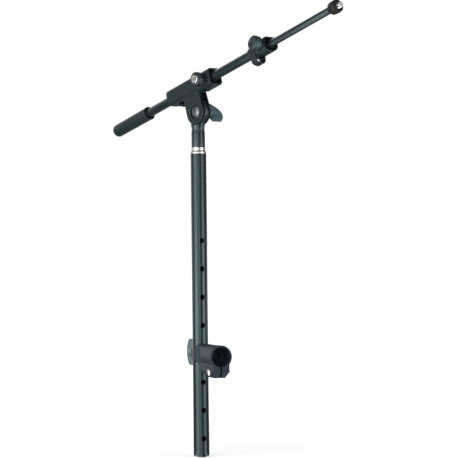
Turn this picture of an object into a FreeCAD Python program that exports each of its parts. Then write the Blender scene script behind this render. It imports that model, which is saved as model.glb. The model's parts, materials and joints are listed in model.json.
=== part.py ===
import FreeCAD, Part
import math
import os
import re

import Sketcher
from FreeCAD import Placement, Rotation, Vector

# Boom arm for a microphone, carried on a 30 mm tube by its clamp.
# Millimetres, +Z up. The origin is the centre of the clamp socket's mouth, and the socket opens towards -Y.
# The mast stands behind the socket, and the boom is tilted and turned on the mast's head.
# Three frames are used: the clamp frame (the part's own), the mast frame (origin on the mast at the height of
# the socket's axis) and the boom frame (origin at the tilt pivot, +X along the boom, -Y towards the knobs).

SIZES = {
    # mast
    "mast_d": 25.0,
    "mast_wall": 2.0,
    "mast_up": 318.6,
    "mast_down": 150.8,
    "hole_d": 8.4,
    "hole_pitch": 45.0,
    "holes_up": 4,
    "holes_down": 3,
    "cap_height": 13.8,
    "cap_round": 4.0,
    "cap_wall": 2.0,
    "spigot_length": 16.0,
    "cap_spigot": 10.0,
    "plug_fit": 0.05,
    "ring_height": 9.7,
    "ring_step": 2.7,
    "ring_shoulder": 4.8,
    "plug_flange": 1.2,
    "stud_d": 9.52,
    "stud_rise": 15.0,
    "thread_play": 0.05,
    # stand clamp
    "socket_reach": 92.0,
    "socket_bore": 30.6,
    "socket_depth": 27.0,
    "mouth_d": 36.0,
    "root_d": 32.8,
    "mouth_round": 1.2,
    "saddle_half": 14.2,
    "saddle_setback": 6.5,
    "saddle_taper": 48.0,
    "saddle_land": 12.0,
    "waist_half": 8.0,
    "waist_back": 18.0,
    "seat_gap": 0.05,
    "lip_d": 5.4,
    "lip_height": 21.0,
    "lip_across": 12.1,
    "lip_back": 8.3,
    "lug_half": 13.7,
    "lug_foot_half": 8.4,
    "lug_drop": 33.2,
    "lug_slope": 6.4,
    "lug_length": 38.0,
    "lug_gusset": 21.0,
    "lug_root": 11.0,
    "lug_bow": 34.0,
    "ledge_drop": 1.6,
    "ledge_height": 2.8,
    "ledge_out": 1.0,
    "lug_shoulder": 9.0,
    "slit": 3.0,
    "slit_overrun": 3.0,
    "pinch_y": 23.0,
    "pinch_drop": 24.6,
    "pinch_d": 6.0,
    "pinch_hole": 6.4,
    "pinch_head_d": 11.4,
    "pinch_head_h": 4.0,
    "pinch_key": 4.0,
    "pinch_key_depth": 2.4,
    "screw_show": 2.5,
    "spotface_d": 14.0,
    "spotface": 2.0,
    "pinch_nut_af": 10.0,
    "pinch_nut_h": 5.0,
    "lock_d": 8.0,
    "lock_head_d": 17.0,
    "lock_head_h": 4.2,
    "head_sink": 0.3,
    "lock_square": 8.0,
    "lock_square_h": 4.0,
    "fit_gap": 0.1,
    "overcut": 1.0,
    "block_length": 9.0,
    "block_width": 18.0,
    "block_height": 22.0,
    "block_round": 1.2,
    "block_corner": 6.0,
    "washer_h": 1.6,
    "washer_d": 17.0,
    # wing nuts
    "wing_span": 42.0,
    "wing_thick": 4.6,
    "wing_start": 6.0,
    "wing_web": 2.3,
    "wing_tip": 10.6,
    "wing_ease": 1.0,
    "wing_hub_d": 17.0,
    "wing_nose_d": 11.8,
    "wing_hub": 24.0,
    "wing_bore": 20.0,
    "wing_round": 1.4,
    "wing_lean": 32.0,
    # head
    "shank_d": 21.6,
    "shank_wall": 2.0,
    "shank_height": 23.6,
    "turn_gap": 0.2,
    "pivot_up": 385.0,
    "pivot_lead": 2.2,
    "boom_turn": 71.5,
    "boom_tilt": 16.0,
    "tongue": 6.0,
    "tongue_d": 40.4,
    "tongue_inset": 0.8,
    "tongue_root": 6.0,
    "tongue_split": 60.0,
    "neck_d": 21.6,
    "neck_waist_d": 20.2,
    "waist_up": 3.4,
    "saddle_rise": 2.5,
    "skirt_h": 1.6,
    "shoulder_gap": 0.6,
    "post_spigot": 7.0,
    "skirt_notch": 5.0,
    "skirt_notch_depth": 3.2,
    "skirt_notches": 5,
    "friction_t": 0.7,
    "friction_d": 34.0,
    "face_gap": 0.1,
    # cradle
    "front_cheek": 5.0,
    "rear_cheek": 4.4,
    "cheek_d": 41.0,
    "cheek_lean": 3.0,
    "cheek_bury": 4.0,
    "bolt_d": 8.0,
    "recess_d": 20.6,
    "recess": 2.4,
    "dome_d": 18.6,
    "dome_h": 2.8,
    "dome_rim": 0.8,
    "boom_rise": 41.0,
    "sleeve_back": 58.0,
    "sleeve_front": 27.0,
    "sleeve_half": 12.0,
    "sleeve_over": 14.6,
    "sleeve_under": 11.6,
    "sleeve_round": 7.5,
    "cup_back": 22.0,
    "cup_front": 55.0,
    "cup_half": 13.0,
    "cup_over": 13.4,
    "cup_under": 15.0,
    "cup_round": 7.0,
    "cup_wall": 3.2,
    "hollow_ease": 0.5,
    "cup_floor": 31.0,
    "web_clear": 1.4,
    "gusset_half": 7.5,
    "gusset_tip": 51.0,
    "gusset_low": 16.5,
    "gusset_knee": 24.0,
    "gusset_edge": 1.0,
    "gusset_bury": 2.0,
    "gusset_slot_w": 14.0,
    "gusset_slot_h": 5.5,
    "slot_inset": 1.2,
    "slot_rake": 2.6,
    "slot_end": 2.4,
    "gusset_lip": 3.4,
    "knob_x": 36.0,
    "knob_boss_d": 17.0,
    "knob_boss": 1.6,
    "slide_gap": 0.3,
    "edge": 1.0,
    # boom
    "boom_d": 14.8,
    "boom_wall": 1.5,
    "inner_d": 10.8,
    "inner_wall": 1.2,
    "boom_back": 212.0,
    "boom_front": 187.0,
    "inner_back": 30.0,
    "inner_front": 331.0,
    "grip_end": 5.0,
    "grip_cover": 90.0,
    "grip_end_d": 21.0,
    "grip_mouth_d": 22.4,
    "grip_end_round": 5.0,
    "grip_recess": 6.0,
    "grip_rim": 1.6,
    "grip_gap": 2.0,
    "plug_length": 14.0,
    "plug_head": 1.5,
    "plug_inset": 0.5,
    "tip_insert": 22.0,
    "tip_length": 24.0,
    "tip_bare": 5.2,
    "tip_relief": 0.6,
    "tip_relief_depth": 0.35,
    "tip_chamfer": 0.8,
    "nut_d": 20.2,
    "nut_h": 16.0,
    "nut_collar": 4.0,
    "nut_collar_in": 3.0,
    "nut_cone": 1.5,
    "nut_flutes": 24,
    "nut_flute_d": 1.6,
    "nut_flute_out": 0.3,
    # knobs
    "knob_d": 22.8,
    "knob_h": 12.6,
    "tele_knob_h": 14.4,
    "knob_gap": 0.4,
    "knob_round": 2.2,
    "knob_neck_d": 15.0,
    "knob_neck": 2.6,
    "knob_flutes": 16,
    "knob_flute_d": 2.2,
    "flute_start": 1.5,
    "flute_out": 0.7,
    "badge_d": 13.8,
    "badge_h": 0.8,
    "badge_proud": 0.5,
    "screw_d": 8.0,
    "screw_hold": 8.0,
    "bush_wall": 2.0,
    "bush_front": 47.0,
    # telescopic clamp
    "tele_roll": 12.0,
    "collar_behind": 39.0,
    "tele_behind": 17.0,
    "tele_bury": 4.0,
    "floor_behind": 14.0,
    "tele_ahead": 11.0,
    "mouth_rake": 7.0,
    "tele_collar_d": 20.4,
    "tele_half": 11.2,
    "tele_over": 11.8,
    "tele_under": 12.4,
    "tele_round": 5.0,
    "tele_low_round": 10.2,
    "tele_wall": 2.8,
    "tele_knob_behind": 5.0,
    "tele_bush_ahead": 4.0,
    "loop_half": 10.0,
    "loop_behind": 30.0,
    "loop_length": 12.5,
    "loop_drop": 22.6,
    "loop_round": 8.0,
    "loop_wall": 2.6,
    "loop_clear": 0.2,
    "eye_round": 3.0,
}

document = FreeCAD.newDocument("BoomArm")
sheet = document.addObject("Spreadsheet::Sheet", "Sizes")
for row, (alias, number) in enumerate(SIZES.items(), start=1):
    sheet.set(f"A{row}", alias)
    sheet.set(f"B{row}", str(number))
    sheet.setAlias(f"B{row}", alias)
document.recompute()

WORD = re.compile(r"\b[a-z][a-z_]+\b")
SUBPARTS = []


def formula(text):
    """The expression with each size's name pointing at the sheet."""
    return WORD.sub(lambda found: ("Sizes." if found.group() in SIZES else "") + found.group(), str(text))


def value(text):
    """The number that an expression of sizes gives."""
    return float(sheet.evalExpression(formula(text)))


def bind(thing, **sizes):
    """Ties properties of a feature to expressions of the sheet's sizes."""
    for name, text in sizes.items():
        thing.setExpression(name, formula(text))


# ---------------------------------------------------------------- bodies, sketches and features


def body(label, frame):
    made = document.addObject("PartDesign::Body", label)
    made.Label = label
    made.Placement = frame
    SUBPARTS.append(made)
    return made


def sketch(owner, plane, offset="0"):
    """A sketch on one of the body's own planes, moved along the plane's normal."""
    made = owner.newObject("Sketcher::SketchObject", owner.Name + "_sketch")
    origin = [feature for feature in owner.Origin.OriginFeatures if feature.Role == plane]
    made.AttachmentSupport = [(origin[0], "")]
    made.MapMode = "FlatFace"
    made.setExpression("AttachmentOffset.Base.z", formula(offset))
    return made


def pin_point(drawing, geometry, end, across, up):
    """Holds one point of a sketch at its distances from the origin."""
    for kind, text in (("DistanceX", across), ("DistanceY", up)):
        index = drawing.addConstraint(Sketcher.Constraint(kind, -1, 1, geometry, end, value(text)))
        drawing.setExpression(f"Constraints[{index}]", formula(text))


def outline(drawing, corners):
    """A closed outline. A corner is (across, up), or (across, up, radius, side) where an arc follows."""
    spots = [Vector(value(corner[0]), value(corner[1]), 0) for corner in corners]
    first = None
    for place, corner in enumerate(corners):
        here = spots[place]
        there = spots[(place + 1) % len(spots)]
        if len(corner) == 2:
            index = drawing.addGeometry(Part.LineSegment(here, there), False)
            start, end = 1, 2
        else:
            radius = value(corner[2])
            chord = there - here
            reach = math.sqrt(max(radius**2 - (chord.Length / 2) ** 2, 0.0))
            normal = Vector(-chord.y, chord.x, 0).normalize()
            centre = here + chord * 0.5 + normal * reach * corner[3]
            angles = [math.atan2(spot.y - centre.y, spot.x - centre.x) for spot in (here, there)]
            if corner[3] < 0:
                angles.reverse()
            circle = Part.Circle(centre, Vector(0, 0, 1), radius)
            index = drawing.addGeometry(Part.ArcOfCircle(circle, *angles), False)
            start, end = (1, 2) if corner[3] > 0 else (2, 1)
            bend = drawing.addConstraint(Sketcher.Constraint("Radius", index, radius))
            drawing.setExpression(f"Constraints[{bend}]", formula(corner[2]))
        pin_point(drawing, index, start, corner[0], corner[1])
        if first is None:
            first = (index, start)
        else:
            drawing.addConstraint(Sketcher.Constraint("Coincident", last[0], last[1], index, start))
        last = (index, end)
    drawing.addConstraint(Sketcher.Constraint("Coincident", last[0], last[1], first[0], first[1]))


def circle(drawing, radius, across="0", up="0"):
    centre = Vector(value(across), value(up), 0)
    index = drawing.addGeometry(Part.Circle(centre, Vector(0, 0, 1), value(radius)), False)
    pin_point(drawing, index, 3, across, up)
    size = drawing.addConstraint(Sketcher.Constraint("Radius", index, value(radius)))
    drawing.setExpression(f"Constraints[{size}]", formula(radius))


def rounded(drawing, left, right, low, high, radius, upper=None):
    """A rectangle with four round corners. The two upper ones may have a radius of their own."""
    upper = upper or radius
    outline(
        drawing,
        [
            (f"{left} + {radius}", low),
            (f"{right} - ({radius})", low, radius, 1),
            (right, f"{low} + {radius}"),
            (right, f"{high} - ({upper})", upper, 1),
            (f"{right} - ({upper})", high),
            (f"{left} + {upper}", high, upper, 1),
            (left, f"{high} - ({upper})"),
            (left, f"{low} + {radius}", radius, 1),
        ],
    )


def checked_cut(owner, made, before):
    """Stops if a cut took nothing away."""
    document.recompute()
    if not made.Shape.Volume < before - 1e-6:
        raise RuntimeError(f"{made.Name} in {owner.Label} cut nothing")
    return made


def pad(owner, drawing, length, both=False, back=False):
    made = owner.newObject("PartDesign::Pad", owner.Name + "_pad")
    made.Profile = drawing
    bind(made, Length=length)
    made.Midplane = both
    made.Reversed = back
    document.recompute()
    return made


def pocket(owner, drawing, length=None, both=False, back=False):
    """A cut of a given depth, or right through when no depth is given."""
    before = owner.Shape.Volume
    made = owner.newObject("PartDesign::Pocket", owner.Name + "_pocket")
    made.Profile = drawing
    made.Midplane = both
    made.Reversed = back
    if length is None:
        made.Type = "ThroughAll"
    else:
        bind(made, Length=length)
    return checked_cut(owner, made, before)


def turn(owner, drawing, axis):
    made = owner.newObject("PartDesign::Revolution", owner.Name + "_turn")
    made.Profile = drawing
    made.ReferenceAxis = (drawing, [axis])
    made.Angle = 360
    document.recompute()
    return made


def groove(owner, drawing, axis):
    before = owner.Shape.Volume
    made = owner.newObject("PartDesign::Groove", owner.Name + "_groove")
    made.Profile = drawing
    made.ReferenceAxis = (drawing, [axis])
    made.Angle = 360
    return checked_cut(owner, made, before)


def ring_of(owner, cut, drawing, count):
    """Repeats a cut round its sketch's normal."""
    made = owner.newObject("PartDesign::PolarPattern", owner.Name + "_pattern")
    made.Originals = [cut]
    made.Axis = (drawing, ["N_Axis"])
    made.Angle = 360
    bind(made, Occurrences=count)
    owner.Tip = made
    document.recompute()
    return made


def soften(owner, radius, wanted, kind="Fillet"):
    """A fillet or chamfer on those edges of the body's tip that the test picks."""
    tip = owner.Tip
    names = [f"Edge{place}" for place, edge in enumerate(tip.Shape.Edges, start=1) if wanted(edge)]
    if not names:
        raise RuntimeError(f"no edge to soften in {owner.Label}")
    made = owner.newObject("PartDesign::" + kind, owner.Name + "_soft")
    made.Base = (tip, names)
    bind(made, **({"Radius": radius} if kind == "Fillet" else {"Size": radius}))
    document.recompute()
    return made


def turned(label, frame, plane, axis, corners):
    """A body made by one revolved outline."""
    made = body(label, frame)
    drawing = sketch(made, plane)
    outline(drawing, corners)
    turn(made, drawing, axis)
    return made


UPRIGHT = ("XZ_Plane", "V_Axis")
ALONG_X = ("XZ_Plane", "H_Axis")
ALONG_Y = ("YZ_Plane", "H_Axis")

# ---------------------------------------------------------------- frames

CLAMP = Placement()
MAST = Placement(Vector(0, value("socket_reach"), 0), Rotation())
HEAD_TURN = Rotation(Vector(0, 0, 1), -value("boom_turn"))
HEAD = Placement(MAST.Base, HEAD_TURN)
BOOM = HEAD.multiply(
    Placement(
        Vector(value("pivot_lead"), 0, value("pivot_up")),
        Rotation(Vector(0, 1, 0), -value("boom_tilt")),
    )
)
BOOM_LINE = BOOM.multiply(Placement(Vector(0, 0, value("boom_rise")), Rotation()))
TELE_LINE = BOOM_LINE.multiply(Placement(Vector(), Rotation(Vector(1, 0, 0), -value("tele_roll"))))


# ---------------------------------------------------------------- stand clamp

# The lock bolt's domed head lies in a pit in the socket's floor.
LOCK_SEAT = "(socket_depth + lock_head_h + head_sink)"
LOCK_REAR = "(socket_reach + mast_d / 2)"


def stand_clamp_body():
    made = body("stand_clamp_body", CLAMP)
    barrel = sketch(made, "YZ_Plane")
    rear = "socket_reach - saddle_setback"
    outline(
        barrel,
        [
            ("0", "0"),
            ("0", "mouth_d / 2 - mouth_round", "mouth_round", -1),
            ("mouth_round", "mouth_d / 2"),
            (rear, "root_d / 2"),
            (rear, "0"),
        ],
    )
    turn(made, barrel, "H_Axis")
    lug = sketch(made, "YZ_Plane")
    outline(
        lug,
        [
            ("0", "0"),
            ("0", "-mouth_d / 2 - ledge_drop"),
            ("-ledge_out", "-mouth_d / 2 - ledge_drop - ledge_height"),
            ("lug_slope", "-lug_drop"),
            ("lug_length", "-lug_drop", "lug_bow", 1),
            ("lug_length + lug_gusset", "-lug_root"),
            ("lug_length + lug_gusset", "0"),
        ],
    )
    pad(made, lug, "2 * lug_half", both=True)
    # The lug's two lower corners are sloped in towards its foot.
    for side in ("", "-"):
        corner = sketch(made, "XZ_Plane")
        outline(
            corner,
            [
                (f"{side}(lug_half + overcut)", "-lug_drop - overcut"),
                (f"{side}(lug_half + overcut)", "-lug_drop + lug_shoulder"),
                (f"{side}lug_half", "-lug_drop + lug_shoulder"),
                (f"{side}lug_foot_half", "-lug_drop"),
                (f"{side}lug_foot_half", "-lug_drop - overcut"),
            ],
        )
        pocket(made, corner, "4 * lug_length", both=True)
    # The barrel's sides narrow to a waist and flare again to the saddle.
    for side in ("", "-"):
        flank = sketch(made, "XY_Plane")
        outline(
            flank,
            [
                (f"{side}mouth_d / 2", "socket_reach - saddle_taper"),
                (f"{side}mouth_d", "socket_reach - saddle_taper"),
                (f"{side}mouth_d", "socket_reach"),
                (f"{side}saddle_half", "socket_reach"),
                (f"{side}saddle_half", "socket_reach - saddle_land"),
                (f"{side}waist_half", "socket_reach - waist_back"),
            ],
        )
        pocket(made, flank, "2 * mouth_d", both=True)
    # A rounded lip stands along each edge of the saddle.
    for side in ("", "-"):
        lip = sketch(made, "XY_Plane")
        circle(lip, "lip_d / 2", f"{side}lip_across", "socket_reach - lip_back")
        pad(made, lip, "lip_height", both=True)
    seat = sketch(made, "XY_Plane")
    circle(seat, "mast_d / 2 + seat_gap", "0", "socket_reach")
    pocket(made, seat, "4 * mouth_d", both=True)
    bore = sketch(made, "XZ_Plane")
    circle(bore, "socket_bore / 2")
    pocket(made, bore, "socket_depth")
    pit = sketch(made, "XZ_Plane")
    circle(pit, "lock_head_d / 2 + fit_gap")
    pocket(made, pit, LOCK_SEAT)
    square = sketch(made, "XZ_Plane")
    half = "(lock_square / 2 + fit_gap)"
    outline(square, [(f"-{half}", f"-{half}"), (half, f"-{half}"), (half, half), (f"-{half}", half)])
    pocket(made, square, f"{LOCK_SEAT} + lock_square_h + fit_gap")
    shank = sketch(made, "XZ_Plane")
    circle(shank, "lock_d / 2 + fit_gap")
    pocket(made, shank, "2 * socket_reach")
    slit = sketch(made, "XY_Plane")
    outline(
        slit,
        [
            ("-slit / 2", "-ledge_out - overcut"),
            ("slit / 2", "-ledge_out - overcut"),
            ("slit / 2", "socket_depth + slit_overrun"),
            ("-slit / 2", "socket_depth + slit_overrun"),
        ],
    )
    pocket(made, slit, "2 * lug_drop")
    hole = sketch(made, "YZ_Plane")
    circle(hole, "pinch_hole / 2", "pinch_y", "-pinch_drop")
    pocket(made, hole, "4 * lug_half", both=True)
    for side, back in (("-lug_half", True), ("lug_half", False)):
        face = sketch(made, "YZ_Plane", f"{side}")
        circle(face, "spotface_d / 2", "pinch_y", "-pinch_drop")
        before = made.Shape.Volume
        cut = made.newObject("PartDesign::Pocket", "spotface")
        cut.Profile = face
        cut.Reversed = back
        bind(cut, Length="spotface")
        checked_cut(made, cut, before)
    return made


def clamp_screws():
    head = "-lug_half + spotface"
    turned(
        "clamp_pinch_screw",
        Placement(Vector(0, value("pinch_y"), -value("pinch_drop")), Rotation()),
        *ALONG_X,
        [
            (f"{head} - pinch_head_h", "0"),
            (f"{head} - pinch_head_h", "pinch_head_d / 2 - pinch_head_h / 2", "pinch_head_h / 2", -1),
            (f"{head} - pinch_head_h / 2", "pinch_head_d / 2"),
            (head, "pinch_head_d / 2"),
            (head, "pinch_d / 2"),
            ("lug_half - spotface + pinch_nut_h + screw_show - edge", "pinch_d / 2"),
            ("lug_half - spotface + pinch_nut_h + screw_show", "pinch_d / 2 - edge"),
            ("lug_half - spotface + pinch_nut_h + screw_show", "0"),
        ],
    )
    screw = SUBPARTS[-1]
    socket = sketch(screw, "YZ_Plane", f"{head} - pinch_head_h")
    hexagon(socket, "pinch_key / 2")
    pocket(screw, socket, "pinch_key_depth", back=True)
    nut = body("clamp_pinch_nut", Placement(screw.Placement))
    drawing = sketch(nut, "YZ_Plane", "lug_half - spotface")
    hexagon(drawing, "pinch_nut_af / 2")
    circle(drawing, "pinch_d / 2 + seat_gap")
    pad(nut, drawing, "pinch_nut_h")


def hexagon(drawing, inside):
    """A hexagon by its inner radius, flat at the top and bottom."""
    corner = f"({inside}) / cos(30)"
    angles = range(0, 360, 60)
    outline(drawing, [(f"{corner} * cos({angle})", f"{corner} * sin({angle})") for angle in angles])


def lock_parts():
    end = f"{LOCK_REAR} + block_length + washer_h + wing_bore - edge"
    dome = "(lock_head_d^2 / 4 + lock_head_h^2) / (2 * lock_head_h)"
    bolt = turned(
        "lock_bolt",
        CLAMP,
        *ALONG_Y,
        [
            (f"{LOCK_SEAT} - lock_head_h", "0", dome, -1),
            (LOCK_SEAT, "lock_head_d / 2"),
            (LOCK_SEAT, "lock_d / 2"),
            (f"{end} - edge", "lock_d / 2"),
            (end, "lock_d / 2 - edge"),
            (end, "0"),
        ],
    )
    square = sketch(bolt, "XZ_Plane", f"-{LOCK_SEAT}")
    half = "lock_square / 2"
    outline(square, [(f"-{half}", f"-{half}"), (half, f"-{half}"), (half, half), (f"-{half}", half)])
    pad(bolt, square, "lock_square_h", back=True)
    block = body("lock_saddle_block", CLAMP)
    drawing = sketch(block, "XZ_Plane", "-socket_reach")
    rounded(
        drawing,
        "-block_width / 2",
        "block_width / 2",
        "-block_height / 2",
        "block_height / 2",
        "block_corner",
    )
    pad(block, drawing, "mast_d / 2 + block_length", back=True)
    back = value(f"{LOCK_REAR} + block_length")
    soften(block, "block_round", lambda edge: edge.BoundBox.YMin > back - 0.01)
    seat = sketch(block, "XY_Plane")
    circle(seat, "mast_d / 2 + seat_gap", "0", "socket_reach")
    pocket(block, seat, "2 * block_height", both=True)
    hole = sketch(block, "XZ_Plane")
    circle(hole, "lock_d / 2 + fit_gap")
    pocket(block, hole, "2 * socket_reach")
    disc("lock_washer", CLAMP, f"{LOCK_REAR} + block_length", "washer_d", "lock_d + 2 * fit_gap", "washer_h")


def disc(label, frame, start, outer, hole, thick):
    """A flat ring about the frame's Y axis."""
    return turned(
        label,
        frame,
        *ALONG_Y,
        [
            (start, f"({hole}) / 2"),
            (start, f"({outer}) / 2"),
            (f"{start} + {thick}", f"({outer}) / 2"),
            (f"{start} + {thick}", f"({hole}) / 2"),
        ],
    )


def wing_nut(label, frame, start):
    """A round-backed plate through a tapered hub about the frame's Y axis, with its wings up and down."""
    made = body(label, frame)
    wings = sketch(made, "YZ_Plane")
    half = "wing_span / 2"
    tip = f"{start} + wing_start + wing_tip"
    bulge = f"({half} - wing_ease)"
    arc = f"(({half})^2 + {bulge}^2) / (2 * {bulge})"
    outline(
        wings,
        [
            (f"{start} + wing_start", f"-{half}"),
            (tip, f"-{half}", arc, 1),
            (tip, half),
            (f"{start} + wing_start", half),
            (f"{start} + wing_web", "0"),
        ],
    )
    pad(made, wings, "wing_thick", both=True)
    soften(made, "wing_round", lambda edge: edge.BoundBox.XLength < 1e-3, "Chamfer")
    hub = sketch(made, "YZ_Plane")
    end = f"{start} + wing_hub"
    outline(
        hub,
        [
            (start, "0"),
            (start, "wing_hub_d / 2"),
            (f"{start} + wing_start", "wing_hub_d / 2"),
            (f"{end} - edge", "wing_nose_d / 2"),
            (end, "wing_nose_d / 2 - edge"),
            (end, "0"),
        ],
    )
    turn(made, hub, "H_Axis")
    hole = sketch(made, "YZ_Plane")
    outline(
        hole,
        [
            (f"{start} - overcut", "0"),
            (f"{start} - overcut", "lock_d / 2 + thread_play"),
            (f"{start} + wing_bore", "lock_d / 2 + thread_play"),
            (f"{start} + wing_bore", "0"),
        ],
    )
    groove(made, hole, "H_Axis")
    return made


# ---------------------------------------------------------------- mast


def mast_parts():
    tube = turned(
        "mast_tube",
        MAST,
        *UPRIGHT,
        [
            ("mast_d / 2 - mast_wall", "-mast_down"),
            ("mast_d / 2", "-mast_down"),
            ("mast_d / 2", "mast_up"),
            ("mast_d / 2 - mast_wall", "mast_up"),
        ],
    )
    holes = sketch(tube, "XZ_Plane")
    for step in range(-int(value("holes_down")), int(value("holes_up")) + 1):
        circle(holes, "hole_d / 2", "0", f"{step} * hole_pitch")
    pocket(tube, holes, "2 * mast_d", both=True)
    inside = "mast_d / 2 - mast_wall - plug_fit"
    turned(
        "mast_end_cap",
        MAST,
        *UPRIGHT,
        [
            ("0", "-mast_down - cap_height"),
            ("mast_d / 2 - cap_round", "-mast_down - cap_height", "cap_round", 1),
            ("mast_d / 2", "-mast_down - cap_height + cap_round"),
            ("mast_d / 2", "-mast_down"),
            (inside, "-mast_down"),
            (inside, "-mast_down + cap_spigot"),
            (f"{inside} - cap_wall", "-mast_down + cap_spigot"),
            (f"{inside} - cap_wall", "-mast_down - cap_height + cap_round"),
            ("0", "-mast_down - cap_height + cap_round"),
        ],
    )
    top = "mast_up"
    turned(
        "mast_top_plug",
        MAST,
        *UPRIGHT,
        [
            ("0", f"{top} - spigot_length"),
            (inside, f"{top} - spigot_length"),
            (inside, f"{top} + plug_flange"),
            ("stud_d / 2", f"{top} + plug_flange"),
            ("stud_d / 2", f"{top} + ring_height + stud_rise - edge"),
            ("stud_d / 2 - edge", f"{top} + ring_height + stud_rise"),
            ("0", f"{top} + ring_height + stud_rise"),
        ],
    )
    turned(
        "mast_top_ring",
        MAST,
        *UPRIGHT,
        [
            (f"{inside} + plug_fit", top),
            ("mast_d / 2", top),
            ("mast_d / 2", f"{top} + ring_step"),
            ("shank_d / 2", f"{top} + ring_shoulder"),
            ("shank_d / 2", f"{top} + ring_height"),
            ("stud_d / 2 + plug_fit", f"{top} + ring_height"),
            ("stud_d / 2 + plug_fit", f"{top} + plug_flange"),
            (f"{inside} + plug_fit", f"{top} + plug_flange"),
        ],
    )


# ---------------------------------------------------------------- head


def head_parts():
    foot = "mast_up + ring_height + turn_gap"
    crown = f"{foot} + shank_height"
    inside = "shank_d / 2 - shank_wall"
    turned(
        "head_shank",
        HEAD,
        *UPRIGHT,
        [
            (inside, foot),
            ("shank_d / 2", foot),
            ("shank_d / 2", crown),
            (inside, crown),
        ],
    )
    turned(
        "head_insert",
        HEAD,
        *UPRIGHT,
        [
            ("stud_d / 2 + thread_play", foot),
            (f"{inside} - plug_fit", foot),
            (f"{inside} - plug_fit", f"{foot} + stud_rise"),
            ("stud_d / 2 + thread_play", f"{foot} + stud_rise"),
        ],
    )
    pivot = HEAD.multiply(Placement(Vector(value("pivot_lead"), 0, value("pivot_up")), Rotation()))
    post = body("head_post", pivot)
    # The neck is turned about the mast's axis, which lies behind the pivot.
    lead = "pivot_lead"
    neck = sketch(post, "XZ_Plane")
    base = "(mast_up + ring_height + turn_gap + shank_height - pivot_up)"
    shoulder = "(-cheek_d / 2 + saddle_rise)"
    outline(
        neck,
        [
            (f"-{lead}", f"{base} - post_spigot"),
            (f"-{lead} + {inside} - plug_fit", f"{base} - post_spigot"),
            (f"-{lead} + {inside} - plug_fit", base),
            (f"-{lead} + shank_d / 2", base),
            (f"-{lead} + shank_d / 2", f"{base} + skirt_h"),
            (f"-{lead} + neck_waist_d / 2", f"{base} + waist_up"),
            (f"-{lead} + neck_d / 2", f"{shoulder} - edge"),
            (f"-{lead} + neck_d / 2 - edge", shoulder),
            (f"-{lead}", shoulder),
        ],
    )
    spun = post.newObject("PartDesign::Revolution", "neck_turn")
    spun.Profile = neck
    axis = neck.addGeometry(
        Part.LineSegment(Vector(-value(lead), value(base), 0), Vector(-value(lead), 0, 0)), True
    )
    pin_point(neck, axis, 1, f"-{lead}", base)
    pin_point(neck, axis, 2, f"-{lead}", "0")
    spun.ReferenceAxis = (neck, ["Axis0"])
    spun.Angle = 360
    document.recompute()
    # The cheeks turn in a saddle across the neck's top.
    saddle = sketch(post, "XZ_Plane")
    circle(saddle, "cheek_d / 2 + shoulder_gap")
    pocket(post, saddle, "2 * shank_d", both=True)
    tongue = sketch(post, "XZ_Plane")
    waist = "neck_d / 2 - tongue_inset"
    radius = "tongue_d / 2"
    outline(
        tongue,
        [
            (f"{radius} * cos(tongue_split)", f"-{radius} * sin(tongue_split)", radius, 1),
            (radius, "0", radius, 1),
            ("0", radius, radius, 1),
            (f"-{radius}", "0", radius, 1),
            (f"-{radius} * cos(tongue_split)", f"-{radius} * sin(tongue_split)"),
            (f"-{lead} - ({waist})", f"{base} + tongue_root"),
            (f"-{lead} + {waist}", f"{base} + tongue_root"),
        ],
    )
    pad(post, tongue, "tongue", both=True)
    bore = sketch(post, "XZ_Plane")
    circle(bore, "bolt_d / 2 + thread_play")
    pocket(post, bore, "4 * tongue", both=True)
    # Round notches in the skirt's lower edge.
    notch = sketch(post, "YZ_Plane", f"-{lead}")
    circle(notch, "skirt_notch / 2", "0", f"{base} + skirt_notch_depth - skirt_notch / 2")
    cut = pocket(post, notch, "shank_d")
    repeat = post.newObject("PartDesign::PolarPattern", "notch_pattern")
    repeat.Originals = [cut]
    repeat.Axis = (neck, ["Axis0"])
    repeat.Angle = 360
    bind(repeat, Occurrences="skirt_notches")
    post.Tip = repeat
    document.recompute()
    return post


def friction_discs():
    pivot = HEAD.multiply(Placement(Vector(value("pivot_lead"), 0, value("pivot_up")), Rotation()))
    hole = "bolt_d + 2 * thread_play"
    disc("friction_disc_front", pivot, "-tongue / 2 - friction_t", "friction_d", hole, "friction_t")
    disc("friction_disc_rear", pivot, "tongue / 2", "friction_d", hole, "friction_t")


# ---------------------------------------------------------------- cradle

INNER_FACE = "(tongue / 2 + friction_t + face_gap)"
FRONT_FACE = f"({INNER_FACE} + front_cheek)"
REAR_FACE = f"({INNER_FACE} + rear_cheek)"


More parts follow.
